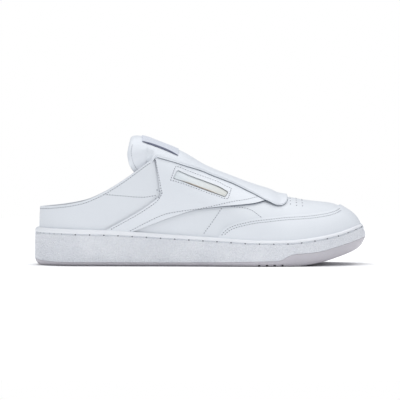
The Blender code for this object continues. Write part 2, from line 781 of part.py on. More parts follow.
def clear_scene():
    """Removes whatever the file opened with."""
    for piece in list(bpy.data.objects):
        bpy.data.objects.remove(piece)


TONGUE_STEPS = last_steps(0.24, 0.84, 0.24, 0.39, 4)
TONGUE_COLUMNS = last_columns(-0.75, 0.75, 0.3, 0.67)
LABEL_STEPS = len([step for step in TONGUE_STEPS if step < 0.49])


def main():
    """Builds every piece of the shoe."""
    clear_scene()
    make_outsole()
    make_cupsole()
    make_insole()
    make_upper()
    make_toe_overlay()
    outer_overlay = make_side_overlay("side_overlay_outer", -1)
    make_side_overlay("side_overlay_inner", 1)
    make_window(outer_overlay)
    make_tongue()
    make_tongue_label()


main()
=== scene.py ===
"""The looks of a white leather slip-on court sneaker mule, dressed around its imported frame.

Every soft piece is a layer of one form, the last: a dome that rises from the sole's outline to
a ridge along the instep. A place on it is a step from heel to toe and a share across, from the
outer edge over the ridge to the inner edge. All sizes are in metres.
"""
from __future__ import annotations

import logging
import math
from dataclasses import dataclass, field
from enum import Enum

import bpy
import numpy as np
from mathutils import Euler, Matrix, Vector

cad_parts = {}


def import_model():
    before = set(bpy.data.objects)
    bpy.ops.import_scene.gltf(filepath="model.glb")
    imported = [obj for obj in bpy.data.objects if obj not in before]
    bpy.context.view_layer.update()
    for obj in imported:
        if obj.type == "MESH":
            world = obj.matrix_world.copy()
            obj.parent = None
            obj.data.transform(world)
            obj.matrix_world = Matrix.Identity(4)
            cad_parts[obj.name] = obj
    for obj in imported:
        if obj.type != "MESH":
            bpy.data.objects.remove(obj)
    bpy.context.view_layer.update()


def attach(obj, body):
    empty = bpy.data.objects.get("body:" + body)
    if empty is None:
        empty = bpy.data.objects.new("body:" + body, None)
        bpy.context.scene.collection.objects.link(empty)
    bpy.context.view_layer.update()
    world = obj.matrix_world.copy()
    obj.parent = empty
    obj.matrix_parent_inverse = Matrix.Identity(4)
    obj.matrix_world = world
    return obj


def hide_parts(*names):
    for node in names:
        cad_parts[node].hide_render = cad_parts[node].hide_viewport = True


log = logging.getLogger("mule")

MM = 0.001
BODY = "root"

# The photograph's scale: metres to a pixel, and the pixel of the frame's origin
PHOTO_SCALE = 0.0009
PHOTO_SIZE = 400
ORIGIN_PIXEL = (200.5, 264.3)


class Side(Enum):
    """A side of the right shoe."""

    OUTER = -1
    INNER = 1


class Edge(Enum):
    """How a sheet's rim is rounded."""

    CUT = 0.35 * MM
    FOLDED = 0.8 * MM


# Smooth lines and the last

@dataclass(frozen=True)
class Curve:
    """A smooth line through a short table, which never overshoots its rows."""

    along: tuple[float, ...]
    value: tuple[float, ...]

    def at(self, place: np.ndarray) -> np.ndarray:
        """Reads the line.

        Args:
            place: Places along the line; those past its ends get the end's value.

        Returns:
            The line's values there.
        """
        keys, values = np.asarray(self.along), np.asarray(self.value)
        spans, slopes = np.diff(keys), np.diff(values) / np.diff(keys)
        tangents = np.zeros_like(values)
        tangents[0], tangents[-1] = slopes[0], slopes[-1]
        same = slopes[:-1] * slopes[1:] > 0.0
        total = np.where(same, slopes[:-1] + slopes[1:], 1.0)
        tangents[1:-1] = np.where(same, 2.0 * slopes[:-1] * slopes[1:] / total, 0.0)
        place = np.clip(place, keys[0], keys[-1])
        i = np.clip(np.searchsorted(keys, place, side="right") - 1, 0, len(keys) - 2)
        t = (place - keys[i]) / spans[i]
        return (
            (2 * t**3 - 3 * t**2 + 1) * values[i]
            + (t**3 - 2 * t**2 + t) * spans[i] * tangents[i]
            + (3 * t**2 - 2 * t**3) * values[i + 1]
            + (t**3 - t**2) * spans[i] * tangents[i + 1]
        )


def mix(low: np.ndarray, high: np.ndarray, share: np.ndarray) -> np.ndarray:
    """Returns the value at a share of the way from low to high."""
    return low + (high - low) * share


def ramp(value: np.ndarray, start: float, end: float) -> np.ndarray:
    """Returns 0 before start, 1 past end, and a smooth rise between them."""
    share = np.clip((value - start) / (end - start), 0.0, 1.0)
    return share * share * (3.0 - 2.0 * share)


def even(points: np.ndarray, count: int) -> np.ndarray:
    """Spaces points evenly along a line.

    Args:
        points: The line's points, one a row.
        count: How many to return.

    Returns:
        The evenly spaced points.
    """
    run = np.concatenate([[0.0], np.cumsum(np.linalg.norm(np.diff(points, axis=0), axis=1))])
    places = np.linspace(0.0, run[-1], count)
    return np.stack([np.interp(places, run, column) for column in points.T], axis=1)


def smooth(points: np.ndarray, count: int) -> np.ndarray:
    """Draws a smooth line through points and spaces count points evenly along it.

    Args:
        points: The points that the line runs through.
        count: How many points to return.

    Returns:
        The line's points.
    """
    ends = np.vstack([2 * points[0] - points[1], points, 2 * points[-1] - points[-2]])
    pieces = []
    for i in range(1, len(ends) - 2):
        before, start, end, after = ends[i - 1:i + 3]
        t = np.linspace(0.0, 1.0, 16, endpoint=False)[:, None]
        pieces.append(0.5 * (
            2 * start + (end - before) * t
            + (2 * before - 5 * start + 4 * end - after) * t**2
            + (3 * start - before - 3 * end + after) * t**3
        ))
    return even(np.vstack([*pieces, points[-1:]]), count)


def beside(points: np.ndarray, distance: float) -> np.ndarray:
    """Returns a flat line moved to its left by a distance."""
    run = np.gradient(points, axis=0)
    run /= np.linalg.norm(run, axis=1, keepdims=True)
    return points + distance * np.stack([-run[:, 1], run[:, 0]], axis=1)


@dataclass(frozen=True)
class Last:
    """The foot's form that the shoe is built on, with the sole's outline under it."""

    length: float = 298 * MM
    ball_width: float = 108 * MM
    heel_width: float = 75 * MM
    heel_round: float = 39 * MM
    toe_round: float = 74.5 * MM
    heel_lip: float = 34.2 * MM
    ball_lip: float = 23.2 * MM
    toe_lip: float = 38 * MM
    toe_spring: float = 20 * MM
    outsole_thickness: float = 3.2 * MM
    bumper_rise: float = 2.2 * MM
    bumper_height: float = 25.2 * MM
    toe_draft: float = 2.4 * MM
    rim_depth: float = 9.5 * MM
    upper_inset: float = 3.8 * MM
    throat_height: float = 106.6 * MM
    toe_box_height: float = 56 * MM
    heel_ridge_inset: float = 46 * MM
    toe_ridge_inset: float = 37 * MM
    gap: float = 0.3 * MM
    spread: Curve = Curve(
        (0.0, 0.2, 0.3, 0.4, 0.5, 0.6, 0.68, 0.76, 0.86, 1.0),
        (0.0, 0.02, 0.06, 0.14, 0.33, 0.68, 0.93, 1.0, 1.0, 1.0))
    centre: Curve = Curve(
        (0.0, 0.2, 0.3, 0.4, 0.5, 0.6, 0.68, 0.76, 0.86, 1.0),
        (0.0, -0.004, -0.014, -0.024, -0.030, -0.024, -0.010, 0.012, 0.045, 0.1))
    heel_rise: Curve = Curve(
        (0.0, 0.11, 0.22, 0.29, 0.42, 0.56, 0.65, 0.73),
        (1.0, 0.88, 0.80, 0.70, 0.46, 0.21, 0.04, 0.0))
    toe_rise: Curve = Curve(
        (0.73, 0.775, 0.845, 0.915, 0.97, 1.0),
        (0.0, 0.03, 0.19, 0.46, 0.81, 1.0))
    spring: Curve = Curve(
        (0.73, 0.775, 0.845, 0.915, 0.97, 1.0),
        (0.0, 0.0, 0.12, 0.40, 0.70, 1.0))
    bumper: Curve = Curve(
        (0.42, 0.56, 0.65, 0.73, 0.775, 0.845, 0.915, 0.97, 1.0),
        (0.0, 0.02, 0.05, 0.08, 0.34, 0.42, 0.65, 0.87, 1.0))
    ridge_rise: Curve = Curve(
        (0.15, 0.25, 0.3, 0.33, 0.362, 0.438, 0.51, 0.583, 0.656, 0.701, 0.728, 0.768, 0.819, 0.876),
        (1.107, 1.107, 1.097, 1.069, 1.0, 0.818, 0.573, 0.397, 0.239, 0.164, 0.118, 0.089, 0.038, 0.0))
    ridge_side: Curve = Curve(
        (0.15, 0.25, 0.3, 0.33, 0.362, 0.438, 0.51, 0.583, 0.656, 0.701, 0.728, 0.768, 0.819, 0.876),
        (0.0, 0.0, 0.002, 0.004, 0.006, 0.014, 0.022, 0.03, 0.036, 0.04, 0.043, 0.048, 0.058, 0.072))
    rise: Curve = Curve(
        (0.0, 0.29, 0.5, 0.62, 0.8, 0.9, 1.0), (0.70, 0.75, 0.64, 0.56, 0.49, 0.50, 0.56))
    crown: Curve = Curve(
        (0.0, 0.29, 0.5, 0.62, 0.8, 0.9, 1.0), (0.72, 0.82, 0.64, 0.53, 0.43, 0.45, 0.50))

    def share(self, x: np.ndarray) -> np.ndarray:
        """Returns how far x is from heel to toe, as a share of the length."""
        return x / self.length + 0.5

    def x_at(self, share: np.ndarray) -> np.ndarray:
        """Returns the place along the shoe at a share of its length."""
        return (np.asarray(share) - 0.5) * self.length

    def lip(self, x: np.ndarray) -> np.ndarray:
        """Returns the height of the sole's lip."""
        share = self.share(x)
        heel = (self.heel_lip - self.ball_lip) * self.heel_rise.at(share)
        return self.ball_lip + heel + (self.toe_lip - self.ball_lip) * self.toe_rise.at(share)

    def tread(self, x: np.ndarray) -> np.ndarray:
        """Returns the height of the outsole's underside."""
        return self.toe_spring * self.spring.at(self.share(x))

    def seam(self, x: np.ndarray) -> np.ndarray:
        """Returns the height of the line between outsole and cupsole."""
        share = self.share(x)
        toe = (self.bumper_height - self.outsole_thickness) * self.bumper.at(share)
        return self.outsole_thickness + toe + self.bumper_rise * np.maximum(0.0, 1.0 - share / 0.1) ** 2

    def seat(self, x: np.ndarray) -> np.ndarray:
        """Returns the height of the seat inside the sole's rim."""
        return self.lip(x) - self.rim_depth

    def ridge(self, x: np.ndarray) -> np.ndarray:
        """Returns the height of the ridge along the instep."""
        return mix(self.toe_box_height, self.throat_height, self.ridge_rise.at(self.share(x)))

    def middle(self, x: np.ndarray) -> np.ndarray:
        """Returns where the ridge lies across the shoe."""
        return self.ridge_side.at(self.share(x)) * self.ball_width

    def plan(self, share: np.ndarray, side: np.ndarray, inset: float,
             draft: float) -> tuple[np.ndarray, np.ndarray]:
        """Finds the sole's outline from above.

        Args:
            share: Places from heel to toe.
            side: -1 for the outer edge, 1 for the inner edge.
            inset: How far the outline is drawn in.
            draft: The share of the toe's extra draft that it takes.

        Returns:
            The outline's x and y.
        """
        x = mix(-self.length / 2 + inset, self.length / 2 - inset - self.toe_draft * draft, share)
        full = mix(self.heel_width, self.ball_width, self.spread.at(share)) / 2
        heel, toe = self.heel_round / self.length, self.toe_round / self.length
        off_end = np.maximum(np.maximum((heel - share) / heel, (share - 1 + toe) / toe), 0.0)
        half = full * np.sqrt(np.maximum(0.0, 1.0 - off_end**2)) * (1.0 - inset / full)
        return x, self.centre.at(share) * self.ball_width + side * half

    def surface(self, step: np.ndarray, across: np.ndarray) -> np.ndarray:
        """Finds points of the last; past heel or toe the surface comes back on the other side.

        Args:
            step: Steps from heel, 0, to toe, 1.
            across: Shares from the outer edge, -1, over the ridge to the inner edge, 1.

        Returns:
            The points.
        """
        step, across = np.broadcast_arrays(np.asarray(step, float), np.asarray(across, float))
        past = (step > 1.0) | (step < 0.0)
        across = np.where(past, -across, across)
        step = np.where(step > 1.0, 2.0 - step, np.abs(step))
        share = (1.0 - np.cos(np.pi * step)) / 2
        x, y = self.plan(share, np.where(across < 0.0, -1.0, 1.0), self.upper_inset, 1.0)
        foot_z = self.seat(x) + self.gap
        ridge_x = mix(-self.length / 2 + self.heel_ridge_inset,
                      self.length / 2 - self.toe_ridge_inset, share)
        ridge_y, ridge_z = self.middle(ridge_x), self.ridge(ridge_x)
        reach = 2 * MM
        slope = (self.ridge(ridge_x + reach) - self.ridge(ridge_x - reach)) / (2 * reach)
        crown = self.crown.at(share)
        handle_z = foot_z + (ridge_z - foot_z) * self.rise.at(share)
        run_x, run_y = (x - ridge_x) * crown, (y - ridge_y) * crown
        t = 1.0 - np.abs(across)
        a, b, c, d = (1 - t)**3, 3 * t * (1 - t)**2, 3 * t**2 * (1 - t), t**3
        return np.stack([
            x * (a + b) + (ridge_x + run_x) * c + ridge_x * d,
            y * (a + b) + (ridge_y + run_y) * c + ridge_y * d,
            foot_z * a + handle_z * b + (ridge_z + run_x * slope) * c + ridge_z * d,
        ], axis=-1)

    def normal(self, step: np.ndarray, across: np.ndarray) -> np.ndarray:
        """Returns the last's outward normals."""
        nudge = 0.004
        along = self.surface(step + nudge, across) - self.surface(step - nudge, across)
        over = (self.surface(step, np.minimum(across + nudge, 1.0))
                - self.surface(step, np.maximum(across - nudge, -1.0)))
        normal = np.cross(along, over)
        return normal / np.linalg.norm(normal, axis=-1, keepdims=True)

    def layer(self, step: np.ndarray, across: np.ndarray, offset: np.ndarray) -> np.ndarray:
        """Returns points at an offset out from the last."""
        offset = np.broadcast_to(offset, np.broadcast(step, across).shape)
        return self.surface(step, across) + self.normal(step, across) * offset[..., None]

    def step_at(self, x: np.ndarray, across: np.ndarray) -> np.ndarray:
        """Returns the steps at which lines along the last pass x."""
        x, across = np.broadcast_arrays(np.asarray(x, float), np.asarray(across, float))
        low, high = np.zeros_like(x), np.ones_like(x)
        for _ in range(20):
            half = (low + high) / 2
            short = self.surface(half, across)[..., 0] < x
            low, high = np.where(short, half, low), np.where(short, high, half)
        return (low + high) / 2

    def seen_at(self, x: np.ndarray, z: np.ndarray, side: Side) -> tuple[np.ndarray, np.ndarray]:
        """Finds where the last is seen in the side view.

        Args:
            x: Places along the shoe.
            z: Heights.
            side: The side it is seen from.

        Returns:
            The steps and the shares across.
        """
        low, high = np.zeros_like(x), np.ones_like(x)
        for _ in range(18):
            half = (low + high) / 2
            across = half * side.value
            above = self.surface(self.step_at(x, across), across)[..., 2] > z
            low, high = np.where(above, half, low), np.where(above, high, half)
        across = (low + high) / 2 * side.value
        return self.step_at(x, across), across

    def under(self, x: np.ndarray, y: np.ndarray) -> tuple[np.ndarray, np.ndarray]:
        """Returns the steps and shares across of the last's top below points of the plan."""
        low, high = -np.ones_like(x), np.ones_like(x)
        for _ in range(18):
            half = (low + high) / 2
            short = self.surface(self.step_at(x, half), half)[..., 1] < y
            low, high = np.where(short, half, low), np.where(short, high, half)
        half = (low + high) / 2
        return self.step_at(x, half), half


@dataclass(frozen=True)
class SideLine:
    """A line drawn on the shoe's side: places along, and shares of the height from lip to ridge."""

    along: tuple[float, ...]
    up: tuple[float, ...]

    def height(self, last: Last, x: np.ndarray) -> np.ndarray:
        """Returns the line's height at x."""
        return mix(last.lip(x), last.ridge(x), Curve(self.along, self.up).at(last.share(x)))

    def drawn(self, last: Last, count: int) -> np.ndarray:
        """Returns evenly spaced side-view points (x, z) along the line."""
        x = last.x_at(self.along)
        z = mix(last.lip(x), last.ridge(x), np.asarray(self.up))
        return smooth(np.stack([x, z], axis=1), count)


COLLAR = SideLine((0.013, 0.075, 0.148, 0.202, 0.257, 0.308, 0.362),
                  (0.236, 0.262, 0.315, 0.402, 0.528, 0.672, 0.860))
TOE_LINE = SideLine((0.553, 0.566, 0.595, 0.652, 0.700, 0.755, 0.830, 0.885, 0.912, 0.934),
                    (0.00, 0.12, 0.25, 0.39, 0.47, 0.55, 0.62, 0.70, 0.79, 1.00))
QUARTER_REAR = SideLine((0.218, 0.282, 0.325, 0.366, 0.380, 0.378, 0.369, 0.362),
                        (0.00, 0.145, 0.250, 0.385, 0.450, 0.520, 0.720, 0.865))
QUARTER_SWEEP = SideLine((0.300, 0.373, 0.429, 0.485, 0.554, 0.652, 0.698),
                         (0.00, 0.130, 0.240, 0.365, 0.495, 0.690, 0.830))
STRIP_EDGE = SideLine((0.362, 0.443, 0.512, 0.582, 0.652, 0.697, 0.728, 0.742, 0.751, 0.757, 0.761),
                      (0.860, 0.880, 0.940, 0.935, 0.880, 0.800, 0.768, 0.778, 0.810, 0.855, 0.920))
TAB_TIP = 0.7624
HEAD_EDGE = SideLine((0.318, 0.306, 0.296, 0.289, 0.284, 0.281, 0.286, 0.296, 0.312, 0.330),
                     (1.095, 1.068, 1.045, 1.000, 0.918, 0.835, 0.745, 0.690, 0.640, 0.610))
WINDOW_TOP = SideLine((0.431, 0.470, 0.514, 0.556, 0.584), (0.815, 0.820, 0.845, 0.840, 0.800))
WINDOW_BOTTOM = SideLine((0.417, 0.450, 0.512, 0.560, 0.574), (0.690, 0.690, 0.705, 0.695, 0.690))


# Blender's tools

def alone(piece: bpy.types.Object) -> None:
    """Selects one object and makes it active."""
    bpy.ops.object.select_all(action="DESELECT")
    piece.select_set(True)
    bpy.context.view_layer.objects.active = piece


def add_grid(name: str, points: np.ndarray) -> bpy.types.Object:
    """Adds a grid and lays its vertices at points.

    Args:
        name: The piece's name.
        points: The places, in rows and columns; the face looks along row run x column run.

    Returns:
        The grid, with a UV map of shares along rows and columns.
    """
    rows, columns = points.shape[:2]
    bpy.ops.object.select_all(action="DESELECT")
    bpy.ops.mesh.primitive_grid_add(x_subdivisions=rows - 1, y_subdivisions=columns - 1, size=1.0)
    piece = bpy.context.object
    piece.name = piece.data.name = name
    piece.data.vertices.foreach_set("co", points.transpose(1, 0, 2).astype(np.float32).ravel())
    piece.data.update()
    return piece


def modify(piece: bpy.types.Object, kind: str, **settings: object) -> None:
    """Adds a modifier to a piece, sets it and applies it."""
    modifier = piece.modifiers.new(kind.title(), kind)
    for key, value in settings.items():
        setattr(modifier, key, value)
    alone(piece)
    bpy.ops.object.modifier_apply(modifier=modifier.name)


def join(name: str, pieces: list[bpy.types.Object], merge: float = 0.0) -> bpy.types.Object:
    """Joins pieces into one object.

    Args:
        name: The joined piece's name.
        pieces: What to join.
        merge: The distance under which vertices are merged, or 0 for none.

    Returns:
        The joined piece.
    """
    alone(pieces[0])
    for piece in pieces:
        piece.select_set(True)
    if len(pieces) > 1:
        bpy.ops.object.join()
    piece = bpy.context.view_layer.objects.active
    piece.name = piece.data.name = name
    if merge:
        bpy.ops.object.mode_set(mode="EDIT")
        bpy.ops.mesh.select_all(action="SELECT")
        bpy.ops.mesh.remove_doubles(threshold=merge)
        bpy.ops.object.mode_set(mode="OBJECT")
    return piece


def edit_boundary(piece: bpy.types.Object, operator: str) -> None:
    """Selects a piece's open edges and closes them.

    Args:
        piece: The piece.
        operator: FILL puts a face in each open loop, BRIDGE joins two loops with a wall.
    """
    alone(piece)
    bpy.ops.object.mode_set(mode="EDIT")
    bpy.ops.mesh.select_mode(type="EDGE")
    bpy.ops.mesh.select_all(action="DESELECT")
    bpy.ops.mesh.select_non_manifold(extend=False, use_wire=False, use_boundary=True,
                                     use_multi_face=False, use_non_contiguous=False,
                                     use_verts=False)
    if operator == "BRIDGE":
        bpy.ops.mesh.bridge_edge_loops()
    else:
        bpy.ops.mesh.edge_face_add()
    bpy.ops.object.mode_set(mode="OBJECT")


def face_out(piece: bpy.types.Object) -> None:
    """Turns a closed piece's faces outwards."""
    alone(piece)
    bpy.ops.object.mode_set(mode="EDIT")
    bpy.ops.mesh.select_all(action="SELECT")
    bpy.ops.mesh.normals_make_consistent(inside=False)
    bpy.ops.object.mode_set(mode="OBJECT")


def smooth_shade(piece: bpy.types.Object, degrees: float = 45.0) -> None:
    """Shades a piece smooth, with its sharper edges kept."""
    alone(piece)
    bpy.ops.object.shade_smooth_by_angle(angle=math.radians(degrees))


def add_prism(name: str, outline: np.ndarray, low: float, high: float) -> bpy.types.Object:
    """Adds a side-view outline as a solid through the shoe's width, to cut with.

    Args:
        name: The cutter's name.
        outline: Side-view points (x, z).
        low: Its lowest y.
        high: Its highest y.

    Returns:
        The cutter.
    """
    bpy.ops.object.select_all(action="DESELECT")
    bpy.ops.mesh.primitive_circle_add(vertices=len(outline), fill_type="NGON")
    cutter = bpy.context.object
    cutter.name = name
    points = np.stack([outline[:, 0], np.full(len(outline), low), outline[:, 1]], axis=1)
    cutter.data.vertices.foreach_set("co", points.astype(np.float32).ravel())
    bpy.ops.object.mode_set(mode="EDIT")
    bpy.ops.mesh.select_all(action="SELECT")
    bpy.ops.mesh.extrude_region_move(TRANSFORM_OT_translate={"value": (0.0, high - low, 0.0)})
    bpy.ops.mesh.select_all(action="SELECT")
    bpy.ops.mesh.normals_make_consistent(inside=False)
    bpy.ops.object.mode_set(mode="OBJECT")
    return cutter


def cut(piece: bpy.types.Object, cutter: bpy.types.Object) -> None:
    """Cuts a cutter out of a piece and removes the cutter."""
    modify(piece, "BOOLEAN", object=cutter, operation="DIFFERENCE", solver="EXACT")
    bpy.data.objects.remove(cutter)


def dress(piece: bpy.types.Object, slot: str, *materials: bpy.types.Material,
          stands_for: str = "") -> bpy.types.Object:
    """Gives a finished piece its materials and its place in the frame.

    Args:
        piece: The piece.
        slot: Not used.
        materials: The piece's materials, in the order of its faces' slots.
        stands_for: The CAD node that it replaces, if any.

    Returns:
        The piece.
    """
    piece.data.materials.clear()
    for material in materials:
        piece.data.materials.append(material)
    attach(piece, BODY)
    if stands_for:
        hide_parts(stands_for)
    log.info("%s: %d faces", piece.name, len(piece.data.polygons))
    return piece


def scatter(name: str, template: bpy.types.Object, frames: np.ndarray) -> bpy.types.Object:
    """Copies a small template to many places, in one mesh, and removes the template.

    Args:
        name: The piece's name.
        template: The shape to copy, made at the origin.
        frames: One 3 x 4 matrix for each copy: three axes and a place.

    Returns:
        The piece.
    """
    own = template.data
    points = np.empty(len(own.vertices) * 3, np.float32)
    own.vertices.foreach_get("co", points)
    points = points.reshape(-1, 3)
    placed = np.einsum("kij,mj->kmi", frames[:, :, :3], points) + frames[:, None, :, 3]
    faces = [list(face.vertices) for face in own.polygons]
    count = len(points)
    every = [[v + k * count for v in face] for k in range(len(frames)) for face in faces]
    mesh = bpy.data.meshes.new(name)
    mesh.from_pydata(placed.reshape(-1, 3).tolist(), [], every)
    mesh.update()
    piece = bpy.data.objects.new(name, mesh)
    bpy.context.collection.objects.link(piece)
    bpy.data.objects.remove(template)
    return piece


# Materials

def srgb(red: int, green: int, blue: int) -> tuple[float, float, float, float]:
    """Returns a screen colour of 0 to 255 as linear light."""
    def linear(value: float) -> float:
        """Returns one channel as linear light."""
        return value / 12.92 if value <= 0.04045 else ((value + 0.055) / 1.055) ** 2.4

    return (linear(red / 255), linear(green / 255), linear(blue / 255), 1.0)


@dataclass
class Board:
    """A node tree that is being wired."""

    tree: bpy.types.NodeTree

    def add(self, kind: str, inputs: dict[str | int, object] | None = None,
            **settings: object) -> bpy.types.Node:
        """Adds a node.

        Args:
            kind: The node's type, without the word ShaderNode.
            inputs: Values of its sockets, or the sockets that feed them.
            settings: The node's own settings.

        Returns:
            The node.
        """
        node = self.tree.nodes.new("ShaderNode" + kind)
        for key, value in settings.items():
            setattr(node, key, value)
        for key, value in (inputs or {}).items():
            if isinstance(value, bpy.types.NodeSocket):
                self.tree.links.new(value, node.inputs[key])
            else:
                node.inputs[key].default_value = value
        return node

    def math(self, operation: str, first: object, second: object = 0.0) -> bpy.types.NodeSocket:
        """Returns the result of a sum on two values."""
        return self.add("Math", {0: first, 1: second}, operation=operation).outputs[0]

    def span(self, value: object, low: float, high: float, start: float,
             end: float) -> bpy.types.NodeSocket:
        """Returns a value moved from one range to another, and held inside it."""
        inputs = {"Value": value, "From Min": low, "From Max": high, "To Min": start, "To Max": end}
        return self.add("MapRange", inputs).outputs["Result"]

    def blend(self, share: object, first: object, second: object,
              kind: str = "MIX") -> bpy.types.NodeSocket:
        """Returns a mix of two colours."""
        node = self.add("Mix", {0: share, 6: first, 7: second}, data_type="RGBA", blend_type=kind)
        return node.outputs[2]


@dataclass(frozen=True)
class Effect:
    """A node group that several materials share."""

    name: str
    values: dict[str, float]
    colours: tuple[str, ...]

    def start(self, outputs: tuple[str, ...]) -> tuple[Board, bpy.types.Node, bpy.types.Node]:
        """Makes the empty group.

        Args:
            outputs: Names of its outputs; Colour is a colour and the rest are values.

        Returns:
            The board, the group's input node and its output node.
        """
        tree = bpy.data.node_groups.new(self.name, "ShaderNodeTree")
        tree.interface.new_socket(name="Place", in_out="INPUT", socket_type="NodeSocketVector")
        for name in self.colours:
            tree.interface.new_socket(name=name, in_out="INPUT", socket_type="NodeSocketColor")
        for name, value in self.values.items():
            socket = tree.interface.new_socket(name=name, in_out="INPUT", socket_type="NodeSocketFloat")
            socket.default_value = value
        for name in outputs:
            kind = "NodeSocketColor" if name == "Colour" else "NodeSocketFloat"
            tree.interface.new_socket(name=name, in_out="OUTPUT", socket_type=kind)
        board = Board(tree)
        return board, tree.nodes.new("NodeGroupInput"), tree.nodes.new("NodeGroupOutput")


def leather_effect() -> bpy.types.NodeTree:
    """Builds the leather's grain: fine pebbles with painted shade between them, a softer mottle and a few
    hairline creases.
    """
    effect = Effect("leather_grain", {"Grain": 900.0, "Mottle": 0.5, "Polish": 0.4},
                    ("Base", "Shade"))
    board, given, result = effect.start(("Colour", "Roughness", "Height"))
    place = given.outputs["Place"]
    warp = board.add("TexNoise", {"Vector": place, "Scale": 160.0, "Detail": 2.0})
    bent = board.add("VectorMath", {0: warp.outputs["Color"], 1: (0.0012, 0.0012, 0.0012)},
                     operation="MULTIPLY")
    moved = board.add("VectorMath", {0: place, 1: bent.outputs[0]}, operation="ADD")
    pebble = board.add("TexVoronoi", {"Vector": moved.outputs[0], "Scale": given.outputs["Grain"]},
                       feature="DISTANCE_TO_EDGE")
    pore = board.add("TexNoise", {"Vector": place, "Scale": 2600.0, "Detail": 3.0})
    cloud = board.add("TexNoise", {"Vector": place, "Scale": 26.0, "Detail": 3.0, "Roughness": 0.55})
    crease = board.add("TexNoise", {"Vector": moved.outputs[0], "Scale": 75.0, "Detail": 5.0,
                                    "Roughness": 0.6})
    raised = board.span(pebble.outputs["Distance"], 0.0, 0.16, 0.0, 1.0)
    off = board.math("ABSOLUTE", board.math("SUBTRACT", crease.outputs["Fac"], 0.5))
    line = board.span(off, 0.0, 0.02, 0.0, 1.0)
    tone = board.math("MULTIPLY", board.span(cloud.outputs["Fac"], 0.3, 0.7, 0.0, 1.0),
                      given.outputs["Mottle"])
    # Painted shade: the colour darkens towards Shade in the valleys between the pebbles.
    dip = board.span(raised, 0.0, 1.0, 0.22, 0.0)
    shade = board.math("ADD", board.math("MULTIPLY", tone, 0.55), dip)
    colour = board.blend(shade, given.outputs["Base"], given.outputs["Shade"])
    height = board.math("ADD", board.math("MULTIPLY", raised, 0.55),
                        board.math("MULTIPLY", pore.outputs["Fac"], 0.3))
    height = board.math("ADD", height, board.math("MULTIPLY", line, 0.3))
    rough = board.math("ADD", given.outputs["Polish"],
                       board.math("MULTIPLY", board.math("SUBTRACT", pore.outputs["Fac"], 0.5), 0.22))
    board.tree.links.new(colour, result.inputs["Colour"])
    board.tree.links.new(rough, result.inputs["Roughness"])
    board.tree.links.new(height, result.inputs["Height"])
    return board.tree


def rubber_effect() -> bpy.types.NodeTree:
    """Builds the moulded rubber's grain: a fine stipple with faint flow marks."""
    effect = Effect("rubber_grain", {"Grain": 1500.0, "Stipple": 0.6, "Polish": 0.5},
                    ("Base", "Shade"))
    board, given, result = effect.start(("Colour", "Roughness", "Height"))
    place = given.outputs["Place"]
    stipple = board.add("TexVoronoi", {"Vector": place, "Scale": given.outputs["Grain"]})
    fine = board.add("TexNoise", {"Vector": place, "Scale": 3200.0, "Detail": 2.0})
    flow = board.add("TexNoise", {"Vector": place, "Scale": 34.0, "Detail": 4.0, "Roughness": 0.6})
    dot = board.math("MULTIPLY", stipple.outputs["Distance"], given.outputs["Stipple"])
    tone = board.span(flow.outputs["Fac"], 0.3, 0.7, 0.0, 0.5)
    shade = board.math("ADD", tone, board.math("MULTIPLY", dot, 0.35))
    colour = board.blend(shade, given.outputs["Base"], given.outputs["Shade"])
    height = board.math("ADD", dot, board.math("MULTIPLY", fine.outputs["Fac"], 0.25))
    rough = board.math("ADD", given.outputs["Polish"],
                       board.math("MULTIPLY", board.math("SUBTRACT", flow.outputs["Fac"], 0.5), 0.2))
    board.tree.links.new(colour, result.inputs["Colour"])
    board.tree.links.new(rough, result.inputs["Roughness"])
    board.tree.links.new(height, result.inputs["Height"])
    return board.tree


def weave_effect() -> bpy.types.NodeTree:
    """Builds a plain weave: warp and weft that pass over and under each other, with painted shade where they
    dip.
    """
    effect = Effect("plain_weave", {"Threads": 1500.0, "Slub": 0.4}, ("Base", "Shade"))
    board, given, result = effect.start(("Colour", "Height"))
    place = given.outputs["Place"]
    axes = board.add("SeparateXYZ", {0: place})
    wander = board.add("TexNoise", {"Vector": place, "Scale": 320.0, "Detail": 2.0})
    sway = board.math("MULTIPLY", wander.outputs["Fac"], given.outputs["Slub"])
    turns = []
    for axis in ("X", "Y"):
        run = board.math("MULTIPLY", axes.outputs[axis], given.outputs["Threads"])
        turns.append(board.math("ADD", run, sway))
    warp, weft = (board.math("SINE", board.math("MULTIPLY", turn, math.pi)) for turn in turns)
    over = board.math("MULTIPLY", warp, weft)
    height = board.math("ADD", board.math("MULTIPLY", board.math("ABSOLUTE", over), 0.6),
                        board.math("MULTIPLY", wander.outputs["Fac"], 0.3))
    # Painted shade: the colour darkens towards Shade where the threads lie low.
    shade = board.span(height, 0.0, 0.7, 0.75, 0.0)
    colour = board.blend(shade, given.outputs["Base"], given.outputs["Shade"])
    board.tree.links.new(colour, result.inputs["Colour"])
    board.tree.links.new(height, result.inputs["Height"])
    return board.tree


class Coordinates(Enum):
    """What a pattern follows."""

    OBJECT = "Object"
    UV = "UV"


